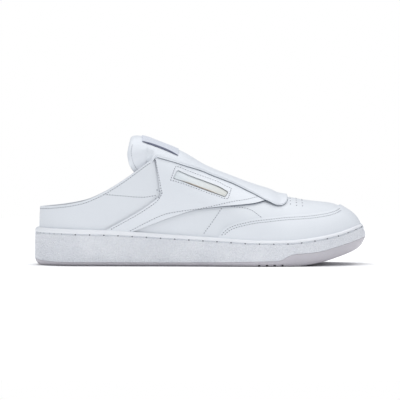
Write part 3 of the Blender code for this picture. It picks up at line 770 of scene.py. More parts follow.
@dataclass(frozen=True)
class Finish:
    """A material whose grain comes from one of the shared effects."""

    name: str
    effect: str
    base: tuple[float, float, float, float]
    shade: tuple[float, float, float, float]
    values: dict[str, float]
    relief: float = 0.06 * MM
    strength: float = 0.5
    roughness: float = 0.5
    sheen: float = 0.0
    coat: float = 0.0
    specular: float = 0.5
    coordinates: Coordinates = Coordinates.OBJECT

    def start(self) -> tuple[bpy.types.Material, Board, bpy.types.Node, bpy.types.NodeSocket]:
        """Makes the material with its shader.

        Returns:
            The material, its board, its shader and the place that patterns read.
        """
        material = bpy.data.materials.new(self.name)
        material.use_nodes = True
        board = Board(material.node_tree)
        shader = material.node_tree.nodes["Principled BSDF"]
        shader.inputs["Roughness"].default_value = self.roughness
        shader.inputs["Sheen Weight"].default_value = self.sheen
        shader.inputs["Coat Weight"].default_value = self.coat
        shader.inputs["Coat Roughness"].default_value = 0.2
        shader.inputs["Specular IOR Level"].default_value = self.specular
        place = board.add("TexCoord").outputs[self.coordinates.value]
        return material, board, shader, place

    def build(self) -> bpy.types.Material:
        """Returns the material, with the effect feeding its shader."""
        material, board, shader, place = self.start()
        group = board.add("Group", node_tree=bpy.data.node_groups[self.effect])
        board.tree.links.new(place, group.inputs["Place"])
        group.inputs["Base"].default_value = self.base
        group.inputs["Shade"].default_value = self.shade
        for key, value in self.values.items():
            group.inputs[key].default_value = value
        board.tree.links.new(group.outputs["Colour"], shader.inputs["Base Color"])
        if "Roughness" in group.outputs:
            board.tree.links.new(group.outputs["Roughness"], shader.inputs["Roughness"])
        bump = board.add("Bump", {"Height": group.outputs["Height"], "Strength": self.strength,
                                  "Distance": self.relief})
        board.tree.links.new(bump.outputs["Normal"], shader.inputs["Normal"])
        return material


@dataclass(frozen=True)
class PearlFilm(Finish):
    """The window's film: pale and pearly, greener and greyer to the front; painted shadow along its top edge,
    painted reflection along its bottom.
    """

    def build(self) -> bpy.types.Material:
        """Returns the film, coloured along its UV map."""
        material, board, shader, place = self.start()
        axes = board.add("SeparateXYZ", {0: place})
        along, up = axes.outputs["X"], axes.outputs["Y"]
        spots = board.add("TexNoise", {"Vector": place, "Scale": 9.0, "Detail": 5.0})
        drift = board.math("MULTIPLY", board.math("SUBTRACT", spots.outputs["Fac"], 0.5), 0.35)
        share = board.math("ADD", board.span(along, 0.1, 0.95, 0.0, 1.0), drift)
        colour = board.blend(share, self.base, self.shade)
        # Painted reflection: a gold-brown band along the middle of the film's bottom edge.
        low = board.span(up, 0.05, 0.13, 1.0, 0.0)
        middle = board.math("MULTIPLY", board.span(along, 0.12, 0.3, 0.0, 1.0),
                            board.span(along, 0.7, 0.9, 1.0, 0.0))
        painted_reflection = board.math("MULTIPLY", board.math("MULTIPLY", low, middle), 0.75)
        colour = board.blend(painted_reflection, colour, srgb(150, 122, 88))
        # Painted shadow: a grey band along the film's top edge, under the overlay's cut edge.
        colour = board.blend(board.span(up, 0.9, 0.97, 0.0, 0.55), colour, srgb(120, 124, 130))
        board.tree.links.new(colour, shader.inputs["Base Color"])
        rough = board.span(spots.outputs["Fac"], 0.3, 0.7, 0.2, 0.34)
        board.tree.links.new(rough, shader.inputs["Roughness"])
        bump = board.add("Bump", {"Height": spots.outputs["Fac"], "Strength": self.strength,
                                  "Distance": self.relief})
        board.tree.links.new(bump.outputs["Normal"], shader.inputs["Normal"])
        return material


@dataclass(frozen=True)
class WovenLabel(Finish):
    """The tongue's label: pale weave inside a plain dark border, drawn on its UV map."""

    border: tuple[float, float, float, float] = srgb(46, 52, 92)

    def build(self) -> bpy.types.Material:
        """Returns the label's weave, with its border."""
        material, board, shader, place = self.start()
        group = board.add("Group", node_tree=bpy.data.node_groups["plain_weave"])
        board.tree.links.new(place, group.inputs["Place"])
        group.inputs["Base"].default_value = self.base
        group.inputs["Shade"].default_value = self.shade
        for key, value in self.values.items():
            group.inputs[key].default_value = value
        axes = board.add("SeparateXYZ", {0: place})
        off = board.math("ABSOLUTE", board.math("SUBTRACT", axes.outputs["Y"], 0.5))
        end = board.math("ABSOLUTE", board.math("SUBTRACT", axes.outputs["X"], 0.5))
        width = board.span(board.math("POWER", board.math("MULTIPLY", end, 2.0), 3.0),
                           0.0, 1.0, 0.05, 0.003)
        edge = board.math("SUBTRACT", board.math("ADD", off, width), 0.5)
        mask = board.span(edge, -0.004, 0.004, 0.0, 1.0)
        dark = board.blend(0.85, group.outputs["Colour"], self.border)
        colour = board.blend(mask, group.outputs["Colour"], dark)
        board.tree.links.new(colour, shader.inputs["Base Color"])
        bump = board.add("Bump", {"Height": group.outputs["Height"], "Strength": self.strength,
                                  "Distance": self.relief})
        board.tree.links.new(bump.outputs["Normal"], shader.inputs["Normal"])
        return material


WHITE = srgb(231, 235, 240)
LEATHER_VALUES = {"Grain": 900.0, "Mottle": 0.5, "Polish": 0.42}
FINISHES = (
    Finish("quarter_leather", "leather_grain", WHITE, srgb(219, 224, 230), LEATHER_VALUES),
    Finish("overlay_leather", "leather_grain", srgb(234, 238, 243), srgb(222, 227, 234),
           {"Grain": 980.0, "Mottle": 0.45, "Polish": 0.38}),
    Finish("tongue_leather", "leather_grain", srgb(234, 238, 243), srgb(223, 228, 236),
           {"Grain": 1050.0, "Mottle": 0.4, "Polish": 0.42}),
    Finish("lining_cloth", "plain_weave", srgb(226, 228, 231), srgb(196, 199, 204),
           {"Threads": 1400.0, "Slub": 0.5}, relief=0.12 * MM, roughness=0.9, sheen=0.3),
    Finish("sock_cloth", "plain_weave", srgb(222, 224, 227), srgb(190, 193, 198),
           {"Threads": 1100.0, "Slub": 0.6}, relief=0.15 * MM, roughness=0.92, sheen=0.25),
    Finish("sidewall_rubber", "rubber_grain", srgb(240, 242, 246), srgb(214, 217, 224),
           {"Grain": 700.0, "Stipple": 1.4, "Polish": 0.55}, relief=0.45 * MM, strength=1.0),
    Finish("lip_rubber", "rubber_grain", srgb(240, 242, 246), srgb(231, 234, 239),
           {"Grain": 2200.0, "Stipple": 0.25, "Polish": 0.4}, relief=0.03 * MM),
    Finish("tread_rubber", "rubber_grain", srgb(204, 201, 207), srgb(186, 183, 190),
           {"Grain": 1600.0, "Stipple": 0.7, "Polish": 0.5}, relief=0.1 * MM),
    Finish("thread", "plain_weave", srgb(226, 230, 236), srgb(190, 195, 203),
           {"Threads": 5200.0, "Slub": 1.0}, relief=0.05 * MM, roughness=0.6, sheen=0.2),
    Finish("needle_hole", "rubber_grain", srgb(112, 116, 126), srgb(88, 92, 102),
           {"Grain": 3000.0, "Stipple": 0.5, "Polish": 0.8}, specular=0.1),
    # Dark grey for cut edges: edge paint, and painted shadow where an edge stands over the leather below.
    Finish("cut_edge", "rubber_grain", srgb(104, 112, 124), srgb(84, 91, 102),
           {"Grain": 2400.0, "Stipple": 0.6, "Polish": 0.7}, specular=0.2),
    PearlFilm("pearl_film", "", srgb(230, 237, 241), srgb(210, 212, 207), {}, relief=0.05 * MM,
              strength=0.3, coat=0.5, coordinates=Coordinates.UV),
    WovenLabel("label_weave", "plain_weave", srgb(226, 230, 238), srgb(196, 202, 216),
               {"Threads": 70.0, "Slub": 0.4}, relief=0.1 * MM, roughness=0.75, sheen=0.2,
               coordinates=Coordinates.UV),
)


def make_materials() -> dict[str, bpy.types.Material]:
    """Builds the shared effects and every finish.

    Returns:
        The materials by name.
    """
    leather_effect()
    rubber_effect()
    weave_effect()
    made = {finish.name: finish.build() for finish in FINISHES}
    return made


# The sole

@dataclass(frozen=True)
class Ring:
    """One ring of the sole's outline."""

    inset: float
    draft: float
    height: np.ndarray


@dataclass
class RingForm:
    """A solid of rings of the sole's outline, each with the same stations."""

    last: Last
    stations: int = 130

    def base_x(self) -> np.ndarray:
        """Returns the stations' places along the sole: heel to toe, and back on the inner side."""
        steps = np.linspace(0.0, 1.0, self.stations + 1)
        share = (1.0 - np.cos(np.pi * steps)) / 2
        return np.concatenate([share, share[-2::-1]])

    def station_x(self, inset: float, draft: float) -> np.ndarray:
        """Returns x of each station of a ring."""
        return self.last.plan(self.base_x(), np.array(1.0), inset, draft)[0]

    def points(self, rings: list[Ring]) -> np.ndarray:
        """Lays out the rings' points, stations in rows and rings in columns."""
        share = self.base_x()
        side = np.where(np.arange(len(share)) <= self.stations, -1.0, 1.0)
        laid = []
        for ring in rings:
            x, y = self.last.plan(share, side, ring.inset, ring.draft)
            laid.append(np.stack([x, y, ring.height], axis=1))
        return np.stack(laid, axis=1)

    def cap(self, ring: np.ndarray, rungs: int, up: bool) -> np.ndarray:
        """Lays out rungs that close a ring from side to side.

        Args:
            ring: The ring's points.
            rungs: How many faces lie along a rung.
            up: Whether the cap faces up.

        Returns:
            The cap's points.
        """
        outer, inner = ring[:self.stations + 1], ring[:self.stations - 1:-1]
        share = np.linspace(0.0, 1.0, rungs + 1)[None, :, None]
        rows = outer[:, None, :] * (1 - share) + inner[:, None, :] * share
        return rows if up else rows[:, ::-1]

    def build(self, name: str, points: np.ndarray, bottom: int = 1, top: int = 1) -> bpy.types.Object:
        """Builds the closed solid.

        Args:
            name: The piece's name.
            points: The rings' points.
            bottom: How many faces lie along a rung of the underside.
            top: How many faces lie along a rung of the top.

        Returns:
            The piece.
        """
        parts = [
            add_grid(name, points),
            add_grid(name + "_under", self.cap(points[:, 0], bottom, False)),
            add_grid(name + "_over", self.cap(points[:, -1], top, True)),
        ]
        return join(name, parts, merge=0.01 * MM)


@dataclass
class Sole:
    """The cupsole with its stitched wall, the tread under it and the insole in it."""

    last: Last
    materials: dict[str, bpy.types.Material]
    channel_drop: float = 4.0 * MM
    rim_clearance: float = 0.5 * MM
    insole_thickness: float = 4.8 * MM
    leather_wall: float = 2.2 * MM
    groove_width: float = 2.1 * MM
    groove_depth: float = 1.8 * MM
    groove_pitch: float = 6.9 * MM
    groove_margin: float = 11 * MM
    stitch_pitch: float = 12.6 * MM
    form: RingForm = field(init=False)

    def __post_init__(self) -> None:
        """Makes the form that every part of the sole shares."""
        self.form = RingForm(self.last)

    def channel(self, x: np.ndarray) -> np.ndarray:
        """Returns the height of the stitch channel's middle."""
        heel = self.last.heel_rise.at(self.last.share(x))
        return self.last.lip(x) - self.channel_drop * mix(0.8, 1.25, heel)

    def wall(self) -> list[tuple[float, float, str, float]]:
        """Lists the cup's profile.

        Returns:
            Inset in mm, draft, the level that the height counts from, and the height over it:
            low and lip and channel in mm, wall as a share from low to channel.
        """
        return [
            (5.2, 0.0, "low", -0.15), (0.4, 0.0, "low", -0.15), (0.2, 0.0, "low", -0.08),
            (0.06, 0.0, "low", 0.1), (0.0, 0.0, "low", 0.5), (0.0, 0.0, "wall", 0.12),
            (0.0, 0.05, "wall", 0.24), (0.03, 0.1, "wall", 0.36), (0.08, 0.2, "wall", 0.5),
            (0.14, 0.35, "wall", 0.64), (0.22, 0.5, "wall", 0.78), (0.3, 0.6, "channel", -1.35),
            (0.3, 0.6, "channel", -0.85), (0.38, 0.65, "channel", -0.65), (0.62, 0.68, "channel", -0.45),
            (0.78, 0.7, "channel", -0.2), (0.8, 0.72, "channel", 0.12), (0.72, 0.75, "channel", 0.38),
            (0.52, 0.78, "channel", 0.58), (0.4, 0.8, "channel", 0.78), (0.38, 0.82, "lip", -2.35),
            (0.48, 0.84, "lip", -1.9), (0.68, 0.86, "lip", -1.45), (1.0, 0.9, "lip", -0.95),
            (1.42, 0.95, "lip", -0.5), (1.9, 1.0, "lip", -0.2), (2.4, 1.0, "lip", -0.03),
            (2.95, 1.0, "lip", 0.0), (3.5, 1.0, "lip", -0.04), (4.2, 1.0, "lip", -0.1),
            (4.9, 1.0, "lip", -0.2), (5.0, 1.0, "lip", -1.2), (5.0, 1.0, "seat", 0.0),
        ]

    def build_cup(self) -> bpy.types.Object:
        """Builds the white rubber cup.

        Returns:
            The cup.
        """
        rings = []
        for inset, draft, level, amount in self.wall():
            x = self.form.station_x(inset * MM, draft)
            low = self.last.seam(x) + self.last.gap
            heights = {
                "low": low + amount * MM,
                "wall": mix(low, self.channel(x) - 1.4 * MM, amount),
                "channel": self.channel(x) + amount * MM,
                "lip": self.last.lip(x) + amount * MM,
                "seat": self.last.seat(x),
            }
            rings.append(Ring(inset * MM, draft, heights[level]))
        cup = self.form.build("cup_wall", self.form.points(rings))
        dress(cup, "cupsole_rubber", self.materials["sidewall_rubber"], self.materials["lip_rubber"],
              stands_for="cupsole")
        for face in cup.data.polygons:
            if face.center.z > self.channel(np.array(face.center.x)) + 0.7 * MM:
                face.material_index = 1
        smooth_shade(cup, 60.0)
        return cup

    def groove(self, number: int, share: float, through: bool) -> bpy.types.Object:
        """Makes the cutter of one groove across the tread."""
        x = float(self.last.x_at(share))
        margin = -4 * MM if through else self.groove_margin
        ends = [float(self.last.plan(np.array(share), np.array(side), margin, 0.0)[1])
                for side in (-1.0, 1.0)]
        top = float(self.last.tread(np.array(x))) + self.groove_depth
        half = self.groove_width / 2
        outline = np.array([
            (x - half, -4 * MM), (x + half, -4 * MM), (x + half, top - half / 2),
            (x + half / 2, top), (x - half / 2, top), (x - half, top - half / 2)])
        return add_prism(f"groove_{number}", outline, *ends)

    def build_tread(self) -> bpy.types.Object:
        """Builds the grooved rubber outsole, which turns up as a bumper round the toe.

        Returns:
            The outsole.
        """
        profile = [
            (9.0, 0.0), (5.6, 0.0), (4.6, 0.03), (3.6, 0.1), (2.6, 0.25), (1.7, 0.43), (1.0, 0.62),
            (0.6, 0.8), (0.4, 0.93), (0.36, 0.99), (0.5, 1.0), (6.0, 1.0)]
        rings = []
        for inset, share in profile:
            x = self.form.station_x(inset * MM, 0.0)
            rings.append(Ring(inset * MM, 0.0, mix(self.last.tread(x), self.last.seam(x), share)))
        tread = self.form.build("tread", self.form.points(rings))
        places = [(0.674, n, True) for n in range(4)]
        places += [(0.674, n, False) for n in (-5, -4, -3, -2, 5, 6, 7)]
        places += [(0.115, n, False) for n in range(8)]
        cutters = [
            self.groove(i, start + n * self.groove_pitch / self.last.length, through)
            for i, (start, n, through) in enumerate(places)]
        cut(tread, join("grooves", cutters))
        dress(tread, "outsole_rubber", self.materials["tread_rubber"], stands_for="outsole")
        smooth_shade(tread, 38.0)
        return tread

    def build_insole(self) -> bpy.types.Object:
        """Builds the sock-lined insole, dished under the heel and soft at its edge.

        Returns:
            The insole.
        """
        edge = self.last.upper_inset / MM + self.leather_wall / MM + 0.6
        top = self.insole_thickness / MM
        profile = [
            (1.6, 0.0), (0.7, 0.15), (0.2, 0.6), (0.0, 1.4), (0.0, top - 0.9), (0.15, top - 0.2),
            (0.55, top + 0.45), (1.2, top + 0.85), (2.2, top + 1.0), (3.6, top + 0.75),
            (6.0, top + 0.25), (9.5, top + 0.0)]
        rings = []
        for inset, rise in profile:
            x = self.form.station_x((edge + inset) * MM, 1.0)
            rings.append(Ring((edge + inset) * MM, 1.0, self.last.seat(x) + self.last.gap + rise * MM))
        insole = self.form.build("insole_pad", self.form.points(rings), top=12)
        dress(insole, "insole_textile", self.materials["sock_cloth"], stands_for="insole")
        smooth_shade(insole, 50.0)
        return insole

    def build_stitches(self) -> list[bpy.types.Object]:
        """Builds the heavy thread in the wall's channel, and painted shade for the hole at each stitch's end.

        Returns:
            The thread and the holes.
        """
        x = self.form.station_x(0.62 * MM, 0.7)
        path = self.form.points([Ring(0.62 * MM, 0.7, self.channel(x))])[:, 0]
        path = np.vstack([path, path[1:30]])
        out = self.form.points([Ring(0.3 * MM, 0.7, self.channel(x))])[:, 0]
        out = np.vstack([out, out[1:30]]) - path
        out[:, 2] = 0.0
        length = np.linalg.norm(out, axis=1, keepdims=True)
        out = np.divide(out, length, out=np.tile([[1.0, 0.0, 0.0]], (len(out), 1)), where=length > 0)
        seam = Seam("sole", pitch=self.stitch_pitch, gap=1.7 * MM, radius=0.4 * MM, hole=0.72 * MM,
                    phase=0.58)
        return seam.build(path, out, self.materials)


@dataclass(frozen=True)
class Seam:
    """A row of stitches: thread lying on the surface, with a disc of painted shade for the needle hole in each
    gap.
    """

    name: str
    pitch: float = 2.4 * MM
    gap: float = 1.0 * MM
    radius: float = 0.3 * MM
    hole: float = 0.48 * MM
    phase: float = 0.0

    def frames(self, path: np.ndarray, out: np.ndarray) -> tuple[np.ndarray, np.ndarray]:
        """Places the stitches and the holes along a path.

        Args:
            path: Points along the seam.
            out: The surface's outward direction at each.

        Returns:
            One 3 x 4 matrix for each stitch, and one for each hole.
        """
        run = np.concatenate([[0.0], np.cumsum(np.linalg.norm(np.diff(path, axis=0), axis=1))])
        whole = run[-1] - (self.pitch if self.phase else 0.0)
        count = max(1, round(whole / self.pitch))
        pitch = whole / count

        def at(place: np.ndarray, values: np.ndarray) -> np.ndarray:
            """Reads values along the path."""
            return np.stack([np.interp(place, run, column) for column in values.T], axis=1)

        starts = (np.arange(count) + self.phase) * pitch + self.gap / 2
        ends = starts + pitch - self.gap
        holes = (np.arange(count + (self.phase == 0.0)) + self.phase) * pitch
        return (self.axes(at(starts, path), at(ends, path), at((starts + ends) / 2, path),
                          at((starts + ends) / 2, out), self.radius),
                self.axes(at(holes - 0.1 * MM, path), at(holes + 0.1 * MM, path), at(holes, path),
                          at(holes, out), self.hole, round_hole=True))

    @staticmethod
    def axes(start: np.ndarray, end: np.ndarray, middle: np.ndarray, out: np.ndarray,
             radius: float, round_hole: bool = False) -> np.ndarray:
        """Returns the matrices that lay a unit shape from start to end."""
        run = end - start
        length = np.linalg.norm(run, axis=1, keepdims=True)
        run = run / np.maximum(length, 1e-9)
        out = out / np.linalg.norm(out, axis=1, keepdims=True)
        across = np.cross(out, run)
        across /= np.maximum(np.linalg.norm(across, axis=1, keepdims=True), 1e-9)
        out = np.cross(run, across)
        half = radius if round_hole else length / 2
        rise = radius * (0.3 if round_hole else 1.0)
        return np.stack([run * half, across * radius, out * rise, middle], axis=2)

    def build(self, path: np.ndarray, out: np.ndarray,
              materials: dict[str, bpy.types.Material]) -> list[bpy.types.Object]:
        """Builds the seam's thread and holes.

        Args:
            path: Points along the seam.
            out: The surface's outward direction at each.
            materials: The materials by name.

        Returns:
            The thread and the holes.
        """
        stitches, holes = self.frames(path, out)
        slot = "cupsole_rubber" if self.name == "sole" else "upper_leather"
        made = []
        # The holes are dark discs: painted shade where the needle went through.
        for kind, material, frames in (("thread", "thread", stitches), ("holes", "needle_hole", holes)):
            bpy.ops.object.select_all(action="DESELECT")
            bpy.ops.mesh.primitive_uv_sphere_add(segments=6, ring_count=4, radius=1.0)
            template = bpy.context.object
            bpy.ops.object.mode_set(mode="EDIT")
            bpy.ops.mesh.select_all(action="SELECT")
            bpy.ops.transform.rotate(value=math.pi / 2, orient_axis="Y" if kind == "thread" else "Z",
                                     center_override=(0.0, 0.0, 0.0))
            bpy.ops.object.mode_set(mode="OBJECT")
            piece = scatter(f"{self.name}_{kind}", template, frames)
            dress(piece, slot, materials[material])
            smooth_shade(piece, 80.0)
            made.append(piece)
        return made


# The upper

@dataclass
class Upper:
    """The leather upper with its overlays, window and seams."""

    last: Last
    materials: dict[str, bpy.types.Material]
    wall: float = 2.2 * MM
    overlay: float = 1.3 * MM
    rim_clearance: float = -1.1 * MM
    window_inset: float = 0.3 * MM
    strip_cover: float = 0.10
    sweep_turn: float = -27 * MM
    toe_puff: float = 2.0 * MM
    wall_columns: int = 40
    ring_rows: int = 170
    vamp_rows: int = 110
    roof_columns: int = 40

    def crossing(self, step: np.ndarray, line: object) -> np.ndarray:
        """Finds where lines up the last cross a side-view line.

        Args:
            step: The steps; past the ends they come back on the other side.
            line: A function from x to the line's height.

        Returns:
            The shares from the ridge, 0, to the foot, 1.
        """
        low, high = np.zeros_like(step), np.ones_like(step)
        for _ in range(22):
            half = (low + high) / 2
            points = self.last.surface(step, -half)
            above = points[..., 2] > line(points[..., 0])
            low, high = np.where(above, half, low), np.where(above, high, half)
        return (low + high) / 2

    def corner(self) -> float:
        """Returns the step of the corner where collar, throat and tongue meet."""
        x = np.array([self.last.x_at(COLLAR.along[-1])])
        step, _ = self.last.seen_at(x, COLLAR.height(self.last, x), Side.OUTER)
        return float(step[0])

    def finish_sheet(self, piece: bpy.types.Object, thickness: float, edge: Edge,
                     inner: int = 0) -> None:
        """Gives a laid sheet its thickness, inwards, and rounds its rim."""
        modify(piece, "SOLIDIFY", thickness=thickness, offset=-1.0, material_offset=inner)
        modify(piece, "BEVEL", width=edge.value, segments=3, limit_method="ANGLE",
               angle_limit=math.radians(55.0), use_clamp_overlap=True)
        smooth_shade(piece, 50.0)

    def build_shell(self) -> bpy.types.Object:
        """Builds the upper's base: a wall round the heel, joined to the vamp over the toes.

        Returns:
            The shell.
        """
        corner = self.corner()
        step = np.linspace(-corner, corner, self.ring_rows)
        top = self.crossing(step, lambda x: COLLAR.height(self.last, x))
        share = np.linspace(0.0, 1.0, self.wall_columns)
        across = -(1.0 + (top[:, None] - 1.0) * share)
        ring = self.last.layer(step[:, None], across, np.array(0.0))
        steps = np.linspace(corner, 1.0, self.vamp_rows)
        roof = np.linspace(-top[-1], top[-1], self.roof_columns)[1:-1]
        columns = np.concatenate([across[-1], roof, -across[-1][::-1]])
        vamp = self.last.layer(steps[:, None], columns, np.array(0.0))
        shell = join("upper_shell", [add_grid("upper_shell", ring), add_grid("vamp", vamp)],
                     merge=0.02 * MM)
        dress(shell, "upper_leather", self.materials["quarter_leather"],
              self.materials["lining_cloth"], stands_for="upper")
        self.finish_sheet(shell, self.wall, Edge.FOLDED, inner=1)
        return shell

    def lay(self, lower: np.ndarray, upper: np.ndarray, columns: int, offset: float | np.ndarray,
            side: Side = Side.OUTER) -> np.ndarray:
        """Lays a sheet on the last between two edges.

        Args:
            lower: The lower edge: steps and shares from the ridge.
            upper: The upper edge, with as many points.
            columns: How many points lie between them.
            offset: The distance from the last.
            side: The side of the shoe.

        Returns:
            The sheet's points, facing out.
        """
        share = np.linspace(0.0, 1.0, columns)[None, :, None]
        place = lower[:, None, :] * (1 - share) + upper[:, None, :] * share
        laid = self.last.layer(place[..., 0], place[..., 1] * side.value, np.array(offset))
        return laid if side is Side.OUTER else laid[:, ::-1]

    def toe_edge(self, step: np.ndarray) -> tuple[np.ndarray, np.ndarray]:
        """Returns the toe overlay's lower and upper edges at steps round the toe."""
        lip = self.crossing(step, lambda x: self.last.lip(x) + self.rim_clearance)
        line = self.crossing(step, lambda x: np.maximum(
            TOE_LINE.height(self.last, x), self.last.lip(x) + self.rim_clearance + 0.6 * MM))
        return np.stack([step, lip], axis=1), np.stack([step, line], axis=1)

    def build_toe_overlay(self) -> bpy.types.Object:
        """Builds the overlay that wraps the toe from the sole's lip to its stitched line.

        Returns:
            The overlay.
        """
        x = np.array([self.last.x_at(TOE_LINE.along[0]) + 0.4 * MM])
        start, _ = self.last.seen_at(x, self.last.lip(x) + self.rim_clearance, Side.OUTER)
        fine = np.linspace(start[0], 2.0 - start[0], 1200)
        _, edge = self.toe_edge(fine)
        points = self.last.surface(edge[:, 0], -edge[:, 1])
        run = np.concatenate([[0.0], np.cumsum(np.linalg.norm(np.diff(points, axis=0), axis=1))])
        step = np.interp(np.linspace(0.0, run[-1], 260), run, fine)
        lower, upper = self.toe_edge(step)
        near = np.exp(-((fine - 1.0) / 0.05) ** 2)
        even_share = np.convolve(np.pad(edge[:, 1], 45, mode="edge"), np.full(91, 1 / 91), mode="valid")
        upper[:, 1] = np.interp(step, fine, mix(edge[:, 1], even_share, near))
        front = np.exp(-((step - 1.0) / 0.15) ** 2)
        full = np.maximum(0.0, 1.0 - np.linspace(0.0, 1.25, 24) ** 2) ** 1.5
        offset = self.last.gap + self.overlay + self.toe_puff * front[:, None] * full
        piece = add_grid("toe_cap", self.lay(lower, upper, 24, offset))
        dress(piece, "upper_leather", self.materials["overlay_leather"], stands_for="toe_overlay")
        self.finish_sheet(piece, self.overlay, Edge.CUT)
        return piece

    def rail(self, places: list[np.ndarray], count: int) -> np.ndarray:
        """Joins edges given as steps and shares, and spaces points evenly along them."""
        rail = np.vstack(places)
        points = self.last.surface(rail[:, 0], -rail[:, 1])
        run = np.concatenate([[0.0], np.cumsum(np.linalg.norm(np.diff(points, axis=0), axis=1))])
        keep = np.concatenate([[True], np.diff(run) > 1e-7])
        at = np.linspace(0.0, run[-1], count)
        return np.stack([np.interp(at, run[keep], column[keep]) for column in rail.T], axis=1)

    def seen(self, line: np.ndarray) -> np.ndarray:
        """Returns the steps and shares from the ridge of side-view points."""
        step, across = self.last.seen_at(line[:, 0], line[:, 1], Side.OUTER)
        return np.stack([step, -across], axis=1)

    def quarter_edges(self, rows: int) -> tuple[np.ndarray, np.ndarray]:
        """Returns the quarter overlay's lower edge, its sweep, and its rear and upper edge."""
        rear_line = QUARTER_REAR.drawn(self.last, 90)
        rear_line[:, 1] = np.maximum(rear_line[:, 1], self.last.lip(rear_line[:, 0]) + self.rim_clearance)
        rear = self.seen(rear_line)
        low_x = np.linspace(self.last.x_at(QUARTER_REAR.along[0]),
                            self.last.x_at(QUARTER_SWEEP.along[0]), 20)
        foot = self.seen(np.stack([low_x, self.last.lip(low_x) + self.rim_clearance], axis=1))
        sweep_line = QUARTER_SWEEP.drawn(self.last, 120)
        sweep = self.seen(sweep_line)
        edge_x = np.linspace(self.last.x_at(0.3625), self.last.x_at(0.696), 90)
        strip = self.seen(np.stack([edge_x, STRIP_EDGE.height(self.last, edge_x)], axis=1))
        strip[:, 1] = np.maximum(strip[:, 1] - self.strip_cover * ramp(
            edge_x, edge_x[0], edge_x[0] + 9 * MM), 0.16)
        bend = int(np.argmax(rear_line[:, 0]))
        turn = int(np.searchsorted(sweep_line[:, 0], self.sweep_turn))
        first = rows * 3 // 10
        rest = rows - first + 1
        lower = [self.rail([foot, sweep[:turn + 1]], first), self.rail([sweep[turn:]], rest)[1:]]
        upper = [self.rail([rear[:bend + 1]], first), self.rail([rear[bend:], strip], rest)[1:]]
        return np.vstack(lower), np.vstack(upper)

    def build_quarter(self, side: Side) -> bpy.types.Object:
        """Builds one quarter overlay, from the sole up under the tongue's strip.

        Args:
            side: The side of the shoe.

        Returns:
            The overlay.
        """
        lower, upper = self.quarter_edges(190)
        offset = self.last.gap + self.overlay
        name = f"quarter_{side.name.lower()}"
        piece = join(name, [add_grid(name, self.lay(lower, upper, 60, offset, side))], merge=0.02 * MM)
        dress(piece, "upper_leather", self.materials["overlay_leather"], self.materials["cut_edge"],
              stands_for=f"side_overlay_{side.name.lower()}")
        # The rims take the dark edge material: edge paint and painted shadow along the overlay's edge.
        modify(piece, "SOLIDIFY", thickness=self.overlay, offset=-1.0, material_offset_rim=1)
        if side is Side.OUTER:
            # The window's cut walls take the dark edge material too: painted shadow round the window's recess.
            cutter = add_prism("window_cut", self.window_line(0.0, 200), -0.1, 0.0)
            cutter.data.materials.append(self.materials["overlay_leather"])
            cutter.data.materials.append(self.materials["cut_edge"])
            cutter.data.polygons.foreach_set("material_index", [1] * len(cutter.data.polygons))
            cut(piece, cutter)
        modify(piece, "BEVEL", width=Edge.CUT.value, segments=3, limit_method="ANGLE",
               angle_limit=math.radians(55.0), use_clamp_overlap=True)
        smooth_shade(piece, 50.0)
        return piece

    def window_edges(self, inset: float, count: int) -> tuple[np.ndarray, np.ndarray]:
        """Returns the window's lower and upper edges in the side view, drawn in by inset."""
        edges = []
        for line, way in ((WINDOW_BOTTOM, 1.0), (WINDOW_TOP, -1.0)):
            drawn = line.drawn(self.last, count)
            drawn[:, 1] += way * inset
            drawn[:, 0] += inset * np.interp(np.linspace(0, 1, count), [0, 0.04, 0.96, 1], [1, 0, 0, -1])
            edges.append(drawn)
        return edges[0], edges[1]

    def window_line(self, inset: float, count: int) -> np.ndarray:
        """Returns the window's closed outline with softened corners."""
        low, high = self.window_edges(inset, 100)
        loop = np.vstack([low, high[::-1]])
        loop = even(np.vstack([loop, loop[:1]]), count + 1)[:-1]
        reach = max(1, round(0.9 * MM / np.linalg.norm(loop[1] - loop[0])))
        turned = [np.roll(loop, k, axis=0) for k in range(-reach, reach + 1)]
        return np.mean(turned, axis=0)

    def build_window(self) -> bpy.types.Object:
        """Builds the pearly film that lies in the outer quarter's window.

        Returns:
            The film.
        """
        low, high = self.window_edges(self.window_inset, 90)
        offset = self.last.gap + 0.5 * MM
        film = add_grid("window_film", self.lay(self.seen(low), self.seen(high), 30, offset))
        dress(film, "pearl_film", self.materials["pearl_film"], stands_for="window_insert")
        modify(film, "SOLIDIFY", thickness=0.5 * MM, offset=-1.0)
        smooth_shade(film, 50.0)
        return film

    def on_side(self, line: np.ndarray, side: Side, offset: float) -> tuple[np.ndarray, np.ndarray]:
        """Returns the points and outward directions of a side-view line laid on the last."""
        step, across = self.last.seen_at(line[:, 0], line[:, 1], side)
        return self.last.layer(step, across, np.array(offset)), self.last.normal(step, across)

    def seam_lines(self) -> dict[str, tuple[np.ndarray, bool, tuple[Side, ...]]]:
        """Lists the stitched lines.

        Returns:
            For each name its side-view line, whether it lies on an overlay, and its sides.
        """
        both, outer = (Side.OUTER, Side.INNER), (Side.OUTER,)

        def drawn(*points: tuple[float, float]) -> np.ndarray:
            """Returns a smooth line through points given in millimetres."""
            return smooth(np.array(points) * MM, 90)

